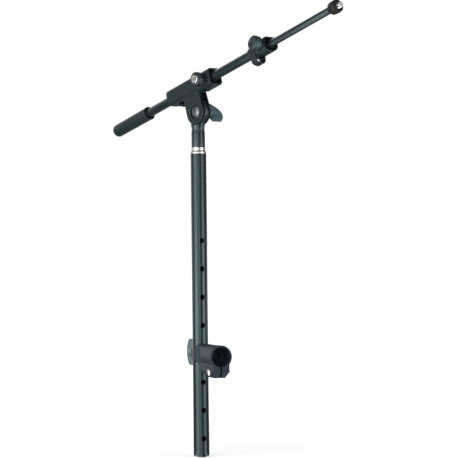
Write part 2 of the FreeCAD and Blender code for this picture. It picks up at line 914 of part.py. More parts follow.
def boom_cradle():
    made = body("boom_cradle", BOOM)
    cheek = sketch(made, "XZ_Plane", FRONT_FACE)
    radius = "cheek_d / 2"
    top = "boom_rise - sleeve_under + cheek_bury"
    outline(
        cheek,
        [
            (f"-{radius}", "0", radius, 1),
            ("0", f"-{radius}", radius, 1),
            (radius, "0"),
            (f"{radius} - cheek_lean", top),
            (f"-{radius}", top),
        ],
    )
    pad(made, cheek, f"{FRONT_FACE} + {REAR_FACE}", back=True)
    sleeve = sketch(made, "YZ_Plane", "-sleeve_back")
    rounded(
        sleeve,
        "-sleeve_half",
        "sleeve_half",
        "boom_rise - sleeve_under",
        "boom_rise + sleeve_over",
        "sleeve_round",
    )
    pad(made, sleeve, "sleeve_back + sleeve_front")
    cup = sketch(made, "YZ_Plane", "cup_back")
    rounded(cup, "-cup_half", "cup_half", "boom_rise - cup_under", "boom_rise + cup_over", "cup_round")
    pad(made, cup, "cup_front - cup_back")
    gusset = sketch(made, "XZ_Plane")
    under = "boom_rise - sleeve_under + edge"
    outline(
        gusset,
        [
            ("-gusset_tip", under),
            ("-gusset_tip", "boom_rise - sleeve_under - gusset_edge"),
            ("-gusset_knee", "gusset_low"),
            ("-cheek_d / 2 + gusset_bury", "gusset_low"),
            ("-cheek_d / 2 + gusset_bury", under),
        ],
    )
    pad(made, gusset, "2 * gusset_half", both=True)
    slot = sketch(made, "XZ_Plane")
    roof = "gusset_low + gusset_lip + gusset_slot_h"
    outline(
        slot,
        [
            ("-cheek_d / 2 - slot_inset", "gusset_low + gusset_lip"),
            ("-cheek_d / 2 - slot_inset", roof),
            ("-cheek_d / 2 - slot_inset - gusset_slot_w", f"{roof} + slot_rake"),
            ("-cheek_d / 2 - slot_inset - gusset_slot_w", f"{roof} + slot_rake - slot_end"),
        ],
    )
    pocket(made, slot, "4 * gusset_half", both=True)
    clear = sketch(made, "XZ_Plane")
    room = "(tongue_d / 2 + web_clear)"
    # The neck's rear corner comes this high when the boom stands upright.
    corner = "(neck_d / 2 + pivot_lead + web_clear / 2)"
    outline(
        clear,
        [
            (f"-{room}", corner),
            (f"-{room}", f"-{room} - edge"),
            (room, f"-{room} - edge"),
            (room, "0", room, 1),
            ("0", room, room, 1),
            (f"-sqrt({room}^2 - {corner}^2)", corner),
        ],
    )
    pocket(made, clear, f"2 * {INNER_FACE}", both=True)
    hollow = sketch(made, "YZ_Plane", "cup_front")
    rounded(
        hollow,
        "-cup_half + cup_wall",
        "cup_half - cup_wall",
        "boom_rise - cup_under + cup_wall",
        "boom_rise + cup_over - cup_wall",
        "cup_round - cup_wall + hollow_ease",
    )
    pocket(made, hollow, "cup_front - cup_floor")
    bore = sketch(made, "YZ_Plane")
    circle(bore, "boom_d / 2 + slide_gap", "0", "boom_rise")
    pocket(made, bore, "4 * sleeve_back", both=True)
    boss = sketch(made, "XZ_Plane", "cup_half - edge")
    circle(boss, "knob_boss_d / 2", "knob_x", "boom_rise")
    pad(made, boss, "edge + knob_boss")
    screw = sketch(made, "XZ_Plane", "cup_half + knob_boss + overcut")
    circle(screw, "screw_d / 2 + thread_play", "knob_x", "boom_rise")
    pocket(made, screw, "cup_half + knob_boss + overcut")
    recess = sketch(made, "XZ_Plane", FRONT_FACE)
    circle(recess, "recess_d / 2")
    pocket(made, recess, "recess")
    pivot = sketch(made, "XZ_Plane")
    circle(pivot, "bolt_d / 2 + fit_gap")
    pocket(made, pivot, f"4 * {FRONT_FACE}", both=True)
    return made


def pivot_parts():
    seat = f"-{FRONT_FACE} + recess"
    rise = "(dome_h - dome_rim)"
    end = f"{REAR_FACE} + washer_h + wing_bore - edge"
    turned(
        "pivot_bolt",
        BOOM,
        *ALONG_Y,
        [
            (f"{seat} - dome_h", "0", f"(dome_d^2 / 4 + {rise}^2) / (2 * {rise})", -1),
            (f"{seat} - dome_rim", "dome_d / 2"),
            (seat, "dome_d / 2"),
            (seat, "bolt_d / 2"),
            (f"{end} - edge", "bolt_d / 2"),
            (end, "bolt_d / 2 - edge"),
            (end, "0"),
        ],
    )
    disc("pivot_washer", BOOM, REAR_FACE, "washer_d", "bolt_d + 2 * fit_gap", "washer_h")


def knob(name, frame, face, tip, height, badge):
    """A clamping knob on its screw. It lies in front of the boss at the frame's origin, along -Y."""
    start = f"({face} + knob_gap)"
    made = turned(
        name,
        frame,
        *ALONG_Y,
        [
            (f"-{start}", "0"),
            (f"-{start}", "knob_neck_d / 2"),
            (f"-{start} - knob_neck", "knob_neck_d / 2"),
            (f"-{start} - knob_neck - edge", "knob_d / 2"),
            (f"-{start} - {height} + knob_round", "knob_d / 2", "knob_round", 1),
            (f"-{start} - {height}", "knob_d / 2 - knob_round"),
            (f"-{start} - {height}", "0"),
        ],
    )
    if badge:
        pit = sketch(made, "XZ_Plane", f"{start} + {height}")
        circle(pit, "badge_d / 2 + fit_gap")
        pocket(made, pit, "badge_h")
    flute = sketch(made, "XZ_Plane", f"{start} + knob_neck + flute_start")
    circle(flute, "knob_flute_d / 2", "0", "knob_d / 2 + flute_out")
    cut = pocket(made, flute, height, back=True)
    ring_of(made, cut, flute, "knob_flutes")
    hole = sketch(made, "XZ_Plane", f"{start}")
    circle(hole, "screw_d / 2 + seat_gap")
    pocket(made, hole, "screw_hold", back=True)
    turned(
        f"{name}_screw",
        frame,
        *ALONG_Y,
        [
            (f"-{start} - screw_hold", "0"),
            (f"-{start} - screw_hold", "screw_d / 2"),
            (f"-({tip}) - edge", "screw_d / 2"),
            (f"-({tip})", "screw_d / 2 - edge"),
            (f"-({tip})", "0"),
        ],
    )
    if badge:
        turned(
            f"{name}_cap",
            frame,
            *ALONG_Y,
            [
                (f"-{start} - {height} - badge_proud", "0"),
                (f"-{start} - {height} - badge_proud", "badge_d / 2 - badge_proud"),
                (f"-{start} - {height}", "badge_d / 2"),
                (f"-{start} - {height} + badge_h", "badge_d / 2"),
                (f"-{start} - {height} + badge_h", "0"),
            ],
        )
    return made


def clamp_bush(label, frame, back, front, tube):
    """A plastic ring round a tube, pressed by the knob's screw."""
    turned(
        label,
        frame,
        *ALONG_X,
        [
            (back, f"{tube} / 2 + slide_gap"),
            (back, f"{tube} / 2 + slide_gap + bush_wall"),
            (f"{front} - edge", f"{tube} / 2 + slide_gap + bush_wall"),
            (front, f"{tube} / 2 + slide_gap + bush_wall - edge"),
            (front, f"{tube} / 2 + slide_gap"),
        ],
    )


# ---------------------------------------------------------------- boom


GRIP_BACK = "(boom_back + grip_end)"
GRIP_FRONT = "(boom_back - grip_cover)"


def boom_tubes():
    turned(
        "boom_tube_outer",
        BOOM_LINE,
        *ALONG_X,
        [
            ("-boom_back", "boom_d / 2 - boom_wall"),
            ("-boom_back", "boom_d / 2"),
            ("boom_front", "boom_d / 2"),
            ("boom_front", "boom_d / 2 - boom_wall"),
        ],
    )
    turned(
        "boom_rear_plug",
        BOOM_LINE,
        *ALONG_X,
        [
            ("-boom_back - plug_head", "0"),
            ("-boom_back - plug_head", "boom_d / 2 - plug_inset"),
            ("-boom_back", "boom_d / 2 - plug_inset"),
            ("-boom_back", "boom_d / 2 - boom_wall - plug_fit"),
            ("-boom_back + plug_length", "boom_d / 2 - boom_wall - plug_fit"),
            ("-boom_back + plug_length", "0"),
        ],
    )
    turned(
        "rear_grip",
        BOOM_LINE,
        *ALONG_X,
        [
            (f"-{GRIP_BACK}", "0"),
            (f"-{GRIP_BACK}", "grip_end_d / 2 - grip_end_round", "grip_end_round", -1),
            (f"-{GRIP_BACK} + grip_end_round", "grip_end_d / 2"),
            (f"-{GRIP_FRONT} - edge", "grip_mouth_d / 2"),
            (f"-{GRIP_FRONT}", "grip_mouth_d / 2 - edge"),
            (f"-{GRIP_FRONT}", "grip_mouth_d / 2 - grip_rim"),
            (f"-{GRIP_FRONT} - grip_recess", "grip_mouth_d / 2 - grip_rim"),
            (f"-{GRIP_FRONT} - grip_recess", "boom_d / 2 + seat_gap"),
            ("-boom_back - grip_gap", "boom_d / 2 + seat_gap"),
            ("-boom_back - grip_gap", "0"),
        ],
    )
    turned(
        "boom_tube_inner",
        BOOM_LINE,
        *ALONG_X,
        [
            ("-inner_back", "inner_d / 2 - inner_wall"),
            ("-inner_back", "inner_d / 2"),
            ("inner_front", "inner_d / 2"),
            ("inner_front", "inner_d / 2 - inner_wall"),
        ],
    )


def boom_tip():
    bare = "inner_front + tip_length - tip_bare"
    turned(
        "boom_tip_stud",
        BOOM_LINE,
        *ALONG_X,
        [
            ("inner_front - tip_insert", "0"),
            ("inner_front - tip_insert", "inner_d / 2 - inner_wall - plug_fit"),
            ("inner_front", "inner_d / 2 - inner_wall - plug_fit"),
            ("inner_front", "stud_d / 2"),
            (f"{bare} - tip_relief", "stud_d / 2"),
            (f"{bare} - tip_relief", "stud_d / 2 - tip_relief_depth"),
            (bare, "stud_d / 2 - tip_relief_depth"),
            (bare, "stud_d / 2"),
            ("inner_front + tip_length - tip_chamfer", "stud_d / 2"),
            ("inner_front + tip_length", "stud_d / 2 - tip_chamfer"),
            ("inner_front + tip_length", "0"),
        ],
    )
    start = "(inner_front + tip_length - tip_bare - tip_relief - nut_h)"
    nut = turned(
        "stop_nut",
        BOOM_LINE,
        *ALONG_X,
        [
            (start, "stud_d / 2 + thread_play"),
            (start, "nut_d / 2 - nut_collar_in"),
            (f"{start} + nut_collar", "nut_d / 2 - nut_collar_in"),
            (f"{start} + nut_collar + nut_cone", "nut_d / 2"),
            (f"{start} + nut_h - edge", "nut_d / 2"),
            (f"{start} + nut_h", "nut_d / 2 - edge"),
            (f"{start} + nut_h", "stud_d / 2 + thread_play"),
        ],
    )
    flute = sketch(nut, "YZ_Plane", f"{start} + nut_collar")
    circle(flute, "nut_flute_d / 2", "0", "nut_d / 2 + nut_flute_out")
    cut = pocket(nut, flute, "nut_h", back=True)
    ring_of(nut, cut, flute, "nut_flutes")


# ---------------------------------------------------------------- telescopic clamp


TELE_STEP = "(boom_front - tele_behind)"
TELE_FRONT = "(boom_front + tele_ahead)"
TELE_KNOB_X = "(boom_front - tele_knob_behind)"


def tele_clamp():
    back = "(boom_front - collar_behind)"
    made = turned(
        "tele_clamp_body",
        TELE_LINE,
        *ALONG_X,
        [
            (back, "boom_d / 2 + seat_gap"),
            (back, "tele_collar_d / 2 - edge"),
            (f"{back} + edge", "tele_collar_d / 2"),
            (f"{TELE_STEP} + tele_bury", "tele_collar_d / 2"),
            (f"{TELE_STEP} + tele_bury", "boom_d / 2 + seat_gap"),
        ],
    )
    housing = sketch(made, "YZ_Plane", TELE_STEP)
    rounded(
        housing,
        "-tele_half",
        "tele_half",
        "-tele_under",
        "tele_over",
        "tele_low_round",
        "tele_round",
    )
    pad(made, housing, "tele_behind + tele_ahead")
    # The cable loop hangs across the collar, with its eye along the boom.
    loop = sketch(made, "YZ_Plane", "boom_front - loop_behind")
    outline(
        loop,
        [
            ("-loop_half", "0"),
            ("-loop_half", "-loop_drop + loop_round", "loop_round", 1),
            ("-loop_half + loop_round", "-loop_drop"),
            ("loop_half - loop_round", "-loop_drop", "loop_round", 1),
            ("loop_half", "-loop_drop + loop_round"),
            ("loop_half", "0"),
        ],
    )
    rounded(
        loop,
        "-loop_half + loop_wall",
        "loop_half - loop_wall",
        "-loop_drop + loop_wall",
        "-tele_collar_d / 2 - loop_clear",
        "eye_round",
    )
    pad(made, loop, "loop_length")
    hollow = sketch(made, "YZ_Plane", TELE_FRONT)
    rounded(
        hollow,
        "-tele_half + tele_wall",
        "tele_half - tele_wall",
        "-tele_under + tele_wall",
        "tele_over - tele_wall",
        "tele_low_round - tele_wall + hollow_ease",
        "tele_round - tele_wall + hollow_ease",
    )
    pocket(made, hollow, "floor_behind + tele_ahead")
    bore = sketch(made, "YZ_Plane")
    circle(bore, "boom_d / 2 + seat_gap")
    pocket(made, bore, f"2 * {TELE_FRONT}", back=True)
    # The mouth is cut at a slant, so that the knob's side ends first.
    mouth = sketch(made, "XY_Plane")
    outline(
        mouth,
        [
            (f"{TELE_FRONT} - mouth_rake", "-2 * tele_half"),
            (f"{TELE_FRONT} + overcut", "-2 * tele_half"),
            (f"{TELE_FRONT} + overcut", "tele_half"),
            (TELE_FRONT, "tele_half"),
            (f"{TELE_FRONT} - mouth_rake", "-tele_half"),
        ],
    )
    pocket(made, mouth, "4 * tele_under", both=True)
    boss = sketch(made, "XZ_Plane", "tele_half - edge")
    circle(boss, "knob_boss_d / 2", TELE_KNOB_X, "0")
    pad(made, boss, "edge + knob_boss")
    screw = sketch(made, "XZ_Plane", "tele_half + knob_boss + overcut")
    circle(screw, "screw_d / 2 + thread_play", TELE_KNOB_X, "0")
    pocket(made, screw, "tele_half + knob_boss + overcut")
    return made


# ---------------------------------------------------------------- assembly

stand_clamp_body()
clamp_screws()
lock_parts()
wing_nut("lock_wing_nut", CLAMP, f"{LOCK_REAR} + block_length + washer_h + face_gap")
mast_parts()
head_parts()
friction_discs()
boom_cradle()
pivot_parts()
PIVOT_WING = BOOM.multiply(Placement(Vector(), Rotation(Vector(0, 1, 0), -value("wing_lean"))))
wing_nut("pivot_wing_nut", PIVOT_WING, f"{REAR_FACE} + washer_h + face_gap")
KNOB = BOOM_LINE.multiply(Placement(Vector(value("knob_x"), 0, 0), Rotation()))
TELE_KNOB = TELE_LINE.multiply(Placement(Vector(value(TELE_KNOB_X), 0, 0), Rotation()))
boom_tubes()
clamp_bush("boom_clamp_bush", BOOM_LINE, "cup_floor + seat_gap", "bush_front", "boom_d")
knob("boom_knob", KNOB, "cup_half + knob_boss", "boom_d / 2 + bush_wall + 2 * slide_gap", "knob_h", True)
tele_clamp()
clamp_bush("tele_clamp_bush", TELE_LINE, "boom_front + slide_gap", "boom_front + tele_bush_ahead", "inner_d")
knob("tele_knob", TELE_KNOB, "tele_half + knob_boss", "boom_d / 2 + slide_gap", "tele_knob_h", False)
boom_tip()

# ---------------------------------------------------------------- checks and files

document.recompute()
for thing in document.Objects:
    if "Invalid" in thing.State or "Error" in thing.State:
        raise RuntimeError(f"{thing.Label} failed: {thing.State}")
for made in SUBPARTS:
    shape = made.Shape
    if shape.isNull() or not shape.isValid():
        raise RuntimeError(f"{made.Label} has no valid shape")
    print(f"{made.Label:22s} solids {len(shape.Solids)}  volume {shape.Volume:10.1f}")
os.makedirs("parts", exist_ok=True)
for made in SUBPARTS:
    made.Shape.exportStep(f"parts/{made.Label}.step")
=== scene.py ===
import json
import math
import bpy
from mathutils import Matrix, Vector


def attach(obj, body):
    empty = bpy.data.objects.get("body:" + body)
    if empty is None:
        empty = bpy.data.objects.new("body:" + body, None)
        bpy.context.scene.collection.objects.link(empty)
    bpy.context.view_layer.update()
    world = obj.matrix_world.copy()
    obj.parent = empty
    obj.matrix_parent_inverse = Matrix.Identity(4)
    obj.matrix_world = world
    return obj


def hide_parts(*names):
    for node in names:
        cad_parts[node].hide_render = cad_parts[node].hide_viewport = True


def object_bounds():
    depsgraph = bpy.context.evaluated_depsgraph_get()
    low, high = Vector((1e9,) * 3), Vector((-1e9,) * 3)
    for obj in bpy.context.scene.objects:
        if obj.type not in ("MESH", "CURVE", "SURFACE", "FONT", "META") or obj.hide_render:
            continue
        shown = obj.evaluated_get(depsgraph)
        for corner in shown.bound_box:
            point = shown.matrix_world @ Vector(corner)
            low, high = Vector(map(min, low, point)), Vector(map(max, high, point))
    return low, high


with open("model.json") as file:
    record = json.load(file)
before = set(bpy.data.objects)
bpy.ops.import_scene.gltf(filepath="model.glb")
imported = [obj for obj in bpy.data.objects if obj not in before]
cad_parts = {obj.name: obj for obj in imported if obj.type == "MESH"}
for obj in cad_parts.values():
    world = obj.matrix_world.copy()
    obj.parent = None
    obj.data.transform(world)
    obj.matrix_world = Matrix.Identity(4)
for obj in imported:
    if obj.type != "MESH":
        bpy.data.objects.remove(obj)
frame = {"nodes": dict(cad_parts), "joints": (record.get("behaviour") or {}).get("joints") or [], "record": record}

from types import SimpleNamespace

import bmesh
import bpy
from bpy.props import FloatProperty, FloatVectorProperty, IntProperty, PointerProperty
from mathutils import Matrix, Vector

# A telescopic microphone boom on a drilled mast, finished on its engineering frame.
# Lengths inside the shape functions are millimetres in a local frame; MM turns them into metres.
# A finished piece takes its slot's finish, unless PAINT_OF names another for it.

bl_info = {
    "name": "Microphone boom arm",
    "version": (1, 0, 0),
    "blender": (4, 5, 0),
    "location": "View3D > Sidebar > Boom arm",
    "description": "Finishes a telescopic microphone boom arm on its engineering frame",
    "category": "Object",
}

MM = 0.001
FULL_TURN = 2 * math.pi
HEXAGON_FLAT = math.cos(math.pi / 6)
CAST_SHARP = 60.0
CAD_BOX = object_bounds()
NODES = frame["nodes"]
JOINTS = {joint["name"]: joint for joint in frame["joints"]}
BODY_OF = {
    node: name for name, nodes in frame["record"]["behaviour"]["bodies"].items() for node in nodes
}
SLOT_OF = {entry["node"]: entry["material_slot"] for entry in frame["record"]["subparts"]}
PAINT_OF = {
    # The stand clamp takes a lighter copy of the casting coat, as painted light on its faces.
    "stand_clamp_body": "clamp",
    # The lock bolt's head and its saddle block take a coat paler than the clamp's, as painted light in the shaded
    # socket.
    "lock_saddle_block": "bolt_head",
    "lock_bolt": "bolt_head",
    "head_post": "powder_coated_tube",
    "mast_end_cap": "powder_coated_tube",
    # The wing nuts take a paler, bluer copy of the nylon, as a painted sheen of bright light from above.
    "lock_wing_nut": "wing_nut",
    "pivot_wing_nut": "wing_nut",
    # The clamps' bushes take the stop nut's near-black finish, darker than nylon, as painted shade inside the
    # cups.
    "boom_clamp_bush": "stop_nut",
    "tele_clamp_bush": "stop_nut",
    "stop_nut": "stop_nut",
}

# ---------------------------------------------------------------- local frames


def local_frame(origin, along, front):
    """A frame with X along a direction and -Y towards a front, at an origin in metres."""
    x = Vector(along).normalized()
    y = -Vector(front).normalized()
    z = x.cross(y)
    turn = Matrix((x, y, z)).transposed().to_4x4()
    return Matrix.Translation(Vector(origin)) @ turn


def on_line(point, start, along):
    """The point of a line that lies nearest to a given point."""
    along = Vector(along).normalized()
    return Vector(start) + along * (Vector(point) - Vector(start)).dot(along)


ROW = Matrix.Identity(4)
MAST = Matrix.Translation((0.0, JOINTS["head_swivel"]["pos_m"][1], 0.0))
PIVOT = JOINTS["boom_tilt"]["pos_m"]
BOOM_AXIS = JOINTS["boom_slide"]["axis"]
TILT_AXIS = JOINTS["boom_tilt"]["axis"]
BOOM = local_frame(PIVOT, BOOM_AXIS, TILT_AXIS)
BOOM_LINE = local_frame(on_line(PIVOT, JOINTS["tip_nut_turn"]["pos_m"], BOOM_AXIS), BOOM_AXIS, TILT_AXIS)
KNOB = local_frame(JOINTS["cradle_knob_turn"]["pos_m"], BOOM_AXIS, JOINTS["cradle_knob_turn"]["axis"])
TELE_KNOB = local_frame(
    JOINTS["telescope_knob_turn"]["pos_m"], BOOM_AXIS, JOINTS["telescope_knob_turn"]["axis"]
)
UPRIGHT = MAST @ Matrix.Rotation(-math.pi / 2, 4, "Y")
DEPTH = Matrix.Rotation(math.pi / 2, 4, "Z")
INWARD = Matrix.Rotation(-math.pi / 2, 4, "Z")


def spread(node, place):
    """Lowest and highest corner of an engineering part in a local frame, in millimetres."""
    back = place.inverted()
    spots = [back @ vertex.co / MM for vertex in NODES[node].data.vertices]
    return Vector(map(min, zip(*spots))), Vector(map(max, zip(*spots)))


def bore(node, place):
    """Least distance of an engineering part's surface from a local X axis, in millimetres."""
    back = place.inverted()
    spots = [back @ vertex.co for vertex in NODES[node].data.vertices]
    return min(math.hypot(spot.y, spot.z) for spot in spots) / MM


# ---------------------------------------------------------------- shapes


def eased(corners):
    """An outline whose corners are rounded: a corner is (along, out) or (along, out, radius)."""
    spots = []
    last = len(corners) - 1
    for place, corner in enumerate(corners):
        here = Vector(corner[:2])
        if len(corner) == 2 or place in (0, last):
            spots.append(here)
            continue
        before = (Vector(corners[place - 1][:2]) - here).normalized()
        after = (Vector(corners[place + 1][:2]) - here).normalized()
        half = before.angle(after) / 2
        reach = corner[2] / math.tan(half)
        centre = here + (before + after).normalized() * corner[2] / math.sin(half)
        start = here + before * reach - centre
        sweep = start.angle_signed(here + after * reach - centre)
        steps = max(2, math.ceil(abs(sweep) / math.radians(18)))
        for step in range(steps + 1):
            spots.append(centre + Matrix.Rotation(-sweep * step / steps, 2) @ start)
    return spots


def lathe(corners, steps=96, closed=False):
    """A turned solid about the local X axis from an outline of (along, out) corners."""
    made = bmesh.new()
    verts = [made.verts.new((spot.x * MM, 0.0, spot.y * MM)) for spot in eased(corners)]
    pairs = list(zip(verts, verts[1:]))
    if closed:
        pairs.append((verts[-1], verts[0]))
    edges = [made.edges.new(pair) for pair in pairs]
    bmesh.ops.spin(
        made,
        geom=verts + edges,
        cent=(0, 0, 0),
        axis=(1, 0, 0),
        angle=FULL_TURN,
        steps=steps,
        use_merge=True,
    )
    bmesh.ops.remove_doubles(made, verts=made.verts, dist=MM * 0.002)
    return made


def rod(radius, start, end, edge=0.0, steps=64):
    """A solid round bar about the local X axis."""
    if edge:
        ends = [(start, 0), (start, radius, edge), (end, radius, edge), (end, 0)]
    else:
        ends = [(start, 0), (start, radius), (end, radius), (end, 0)]
    return lathe(ends, steps)


def pipe(outer, inner, start, end, edge=0.25, steps=96):
    """A tube about the local X axis with eased ends."""
    middle = (start + end) / 2
    return lathe(
        [
            (middle, inner),
            (start, inner, edge),
            (start, outer, edge),
            (end, outer, edge),
            (end, inner, edge),
            (middle, inner),
        ],
        steps,
    )


def block(low, high, edge=0.0, segments=2):
    """A box between two corners with eased edges."""
    made = bmesh.new()
    bmesh.ops.create_cube(made, size=MM)
    low = Vector(low)
    high = Vector(high)
    bmesh.ops.scale(made, vec=high - low, verts=made.verts)
    bmesh.ops.translate(made, vec=(low + high) / 2 * MM, verts=made.verts)
    if edge:
        bmesh.ops.bevel(
            made,
            geom=made.edges[:],
            offset=edge * MM,
            segments=segments,
            profile=0.5,
            affect="EDGES",
            material=-1,
        )
    return made


def dome(start, radius, height, steps=9):
    """The corners of a round cap that starts on the axis and widens along it."""
    ball = (radius**2 + height**2) / (2 * height)
    reach = math.asin(min(1.0, radius / ball))
    angles = [reach * step / steps for step in range(steps + 1)]
    return [(start + ball * (1 - math.cos(angle)), ball * math.sin(angle)) for angle in angles]


def plate(corners, low, high):
    """A flat plate from an outline of (X, Z) corners, between two heights along Y."""
    made = bmesh.new()
    spots = eased(list(corners) + [corners[0]])
    verts = [made.verts.new((spot.x * MM, low * MM, spot.y * MM)) for spot in spots[:-1]]
    face = made.faces.new(verts)
    grown = bmesh.ops.extrude_face_region(made, geom=[face])
    moved = [item for item in grown["geom"] if isinstance(item, bmesh.types.BMVert)]
    bmesh.ops.translate(made, vec=(0, (high - low) * MM, 0), verts=moved)
    bmesh.ops.remove_doubles(made, verts=made.verts, dist=MM * 0.002)
    bmesh.ops.recalc_face_normals(made, faces=made.faces)
    return made


def helix(radius, tooth, pitch, start, end, steps=36):
    """A ridge that winds round the local X axis, as the crest of a screw thread."""
    made = bmesh.new()
    half = pitch * 0.42
    foot = radius - tooth
    spots = [(start, foot - tooth), (start + half, radius), (start + 2 * half, foot - tooth)]
    verts = [made.verts.new((along * MM, 0.0, out * MM)) for along, out in spots]
    face = made.faces.new(verts)
    turns = (end - start - 2 * half) / pitch
    count = max(1, round(turns * steps))
    bmesh.ops.spin(
        made,
        geom=[face],
        cent=(0, 0, 0),
        axis=(1, 0, 0),
        dvec=(pitch * MM / steps, 0, 0),
        angle=FULL_TURN * count / steps,
        steps=count,
        use_merge=False,
    )
    bmesh.ops.remove_doubles(made, verts=made.verts, dist=MM * 0.001)
    bmesh.ops.recalc_face_normals(made, faces=made.faces)
    return made


def placed(made, matrix):
    """The same shape moved by a matrix in metres."""
    bmesh.ops.transform(made, matrix=matrix, verts=made.verts)
    return made


def shift(x=0.0, y=0.0, z=0.0):
    return Matrix.Translation((x * MM, y * MM, z * MM))


def fluted(made, count, depth, start, end, sharp=2.0, least=0.0):
    """Presses grooves that run along X into a turned shape, between two places along it."""
    run = 0.6
    for vert in made.verts:
        along = vert.co.x / MM
        out = math.hypot(vert.co.y, vert.co.z)
        if out < least * MM:
            continue
        fade = min(1.0, max(0.0, (along - start) / run)) * min(1.0, max(0.0, (end - along) / run))
        angle = math.atan2(vert.co.z, vert.co.y)
        press = depth * fade * ((1 + math.cos(count * angle)) / 2) ** sharp
        size = 1 - press * MM / out
        vert.co.y *= size
        vert.co.z *= size
    return made


def hexagon(radius):
    """The (X, Z) corners of a hexagon, given to its corners."""
    return [
        (radius * math.cos(angle), radius * math.sin(angle))
        for angle in (math.radians(60 * place) for place in range(6))
    ]


def copied(node):
    """A merged copy of an engineering part's mesh."""
    made = bmesh.new()
    made.from_mesh(NODES[node].data)
    bmesh.ops.remove_doubles(made, verts=made.verts, dist=MM * 0.005)
    return made


# ---------------------------------------------------------------- objects


def loose_object(name, shapes):
    """One unfinished object that holds several shapes."""
    mesh = bpy.data.meshes.new(name)
    joined = bmesh.new()
    for shape in shapes:
        part = bpy.data.meshes.new("part")
        shape.to_mesh(part)
        shape.free()
        joined.from_mesh(part)
        bpy.data.meshes.remove(part)
    bmesh.ops.recalc_face_normals(joined, faces=joined.faces)
    joined.to_mesh(mesh)
    joined.free()
    made = bpy.data.objects.new(name, mesh)
    bpy.context.scene.collection.objects.link(made)
    return made


def taken(made):
    """The shape of an object that is no longer needed."""
    shape = bmesh.new()
    shape.from_mesh(made.data)
    discard(made)
    return shape


def discard(made):
    mesh = made.data
    bpy.data.objects.remove(made)
    bpy.data.meshes.remove(mesh)


def settle(made):
    """Works an object's modifiers into its mesh."""
    graph = bpy.context.evaluated_depsgraph_get()
    fresh = bpy.data.meshes.new_from_object(made.evaluated_get(graph))
    old = made.data
    made.modifiers.clear()
    made.data = fresh
    bpy.data.meshes.remove(old)


def cut_away(made, shapes):
    """Takes shapes out of an object."""
    tool = loose_object("cutter", shapes)
    cut = made.modifiers.new("cut", "BOOLEAN")
    cut.operation = "DIFFERENCE"
    cut.solver = "EXACT"
    cut.use_self = True
    cut.object = tool
    settle(made)
    discard(tool)


def cast(name, shapes, voxel, passes):
    """Fuses shapes into one skin and softens it, as a casting's edges are."""
    made = loose_object(name, shapes)
    skin = made.modifiers.new("skin", "REMESH")
    skin.mode = "VOXEL"
    skin.voxel_size = voxel * MM
    skin.adaptivity = 0.0
    soften = made.modifiers.new("soften", "SMOOTH")
    soften.factor = 0.5
    soften.iterations = passes
    settle(made)
    return made


def finish(made, node, sharp=38.0):
    """Shades, paints and rides an object that takes the place of an engineering part."""
    mesh = made.data
    work = bmesh.new()
    work.from_mesh(mesh)
    for face in work.faces:
        face.smooth = True
    limit = math.radians(sharp)
    for edge in work.edges:
        edge.smooth = len(edge.link_faces) != 2 or edge.calc_face_angle(0.0) < limit
    work.to_mesh(mesh)
    work.free()
    mesh.materials.clear()
    mesh.materials.append(FINISHES[PAINT_OF.get(node, SLOT_OF[node])])
    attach(made, BODY_OF[node])
    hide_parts(node)


def stand_in(node, shapes, sharp=38.0):
    """A finished piece, made of several shapes, that takes the place of an engineering part."""
    finish(loose_object(node + "_finished", shapes), node, sharp)


def ring(node, place, edge, steps=72, end=None):
    """A plain ring about the local X axis that takes the place of an engineering part."""
    low, high = spread(node, place)
    shape = pipe(high.z, bore(node, place), low.x, end or high.x, edge, steps)
    stand_in(node, [placed(shape, place)])


# ---------------------------------------------------------------- finishes


class Graph:
    """Adds and joins the nodes of a material or of the room."""

    def __init__(self, tree):
        self.nodes = tree.nodes
        self.links = tree.links

    def add(self, kind, **values):
        node = self.nodes.new(kind)
        for name, value in values.items():
            setattr(node, name, value)
        return node

    def join(self, output, target):
        self.links.new(output, target)

    def combined(self, operation, *values):
        """One number worked out from two."""
        node = self.add("ShaderNodeMath", operation=operation)
        for value, target in zip(values, node.inputs):
            self.join(value, target)
        return node.outputs["Value"]

    def vector_sum(self, operation, vector, fixed):
        """A vector sum with one fixed side."""
        node = self.add("ShaderNodeVectorMath", operation=operation)
        self.join(vector, node.inputs[0])
        node.inputs[1].default_value = fixed
        return node.outputs

    def towards(self, vector, way):
        """How far a vector points along a direction."""
        return self.vector_sum("DOT_PRODUCT", vector, way)["Value"]

    def ranged(self, value, low, high, start=0.3, end=0.7):
        """Stretches a value from one range to another."""
        node = self.add("ShaderNodeMapRange")
        node.inputs["From Min"].default_value = start
        node.inputs["From Max"].default_value = end
        node.inputs["To Min"].default_value = low
        node.inputs["To Max"].default_value = high
        self.join(value, node.inputs["Value"])
        return node.outputs["Result"]


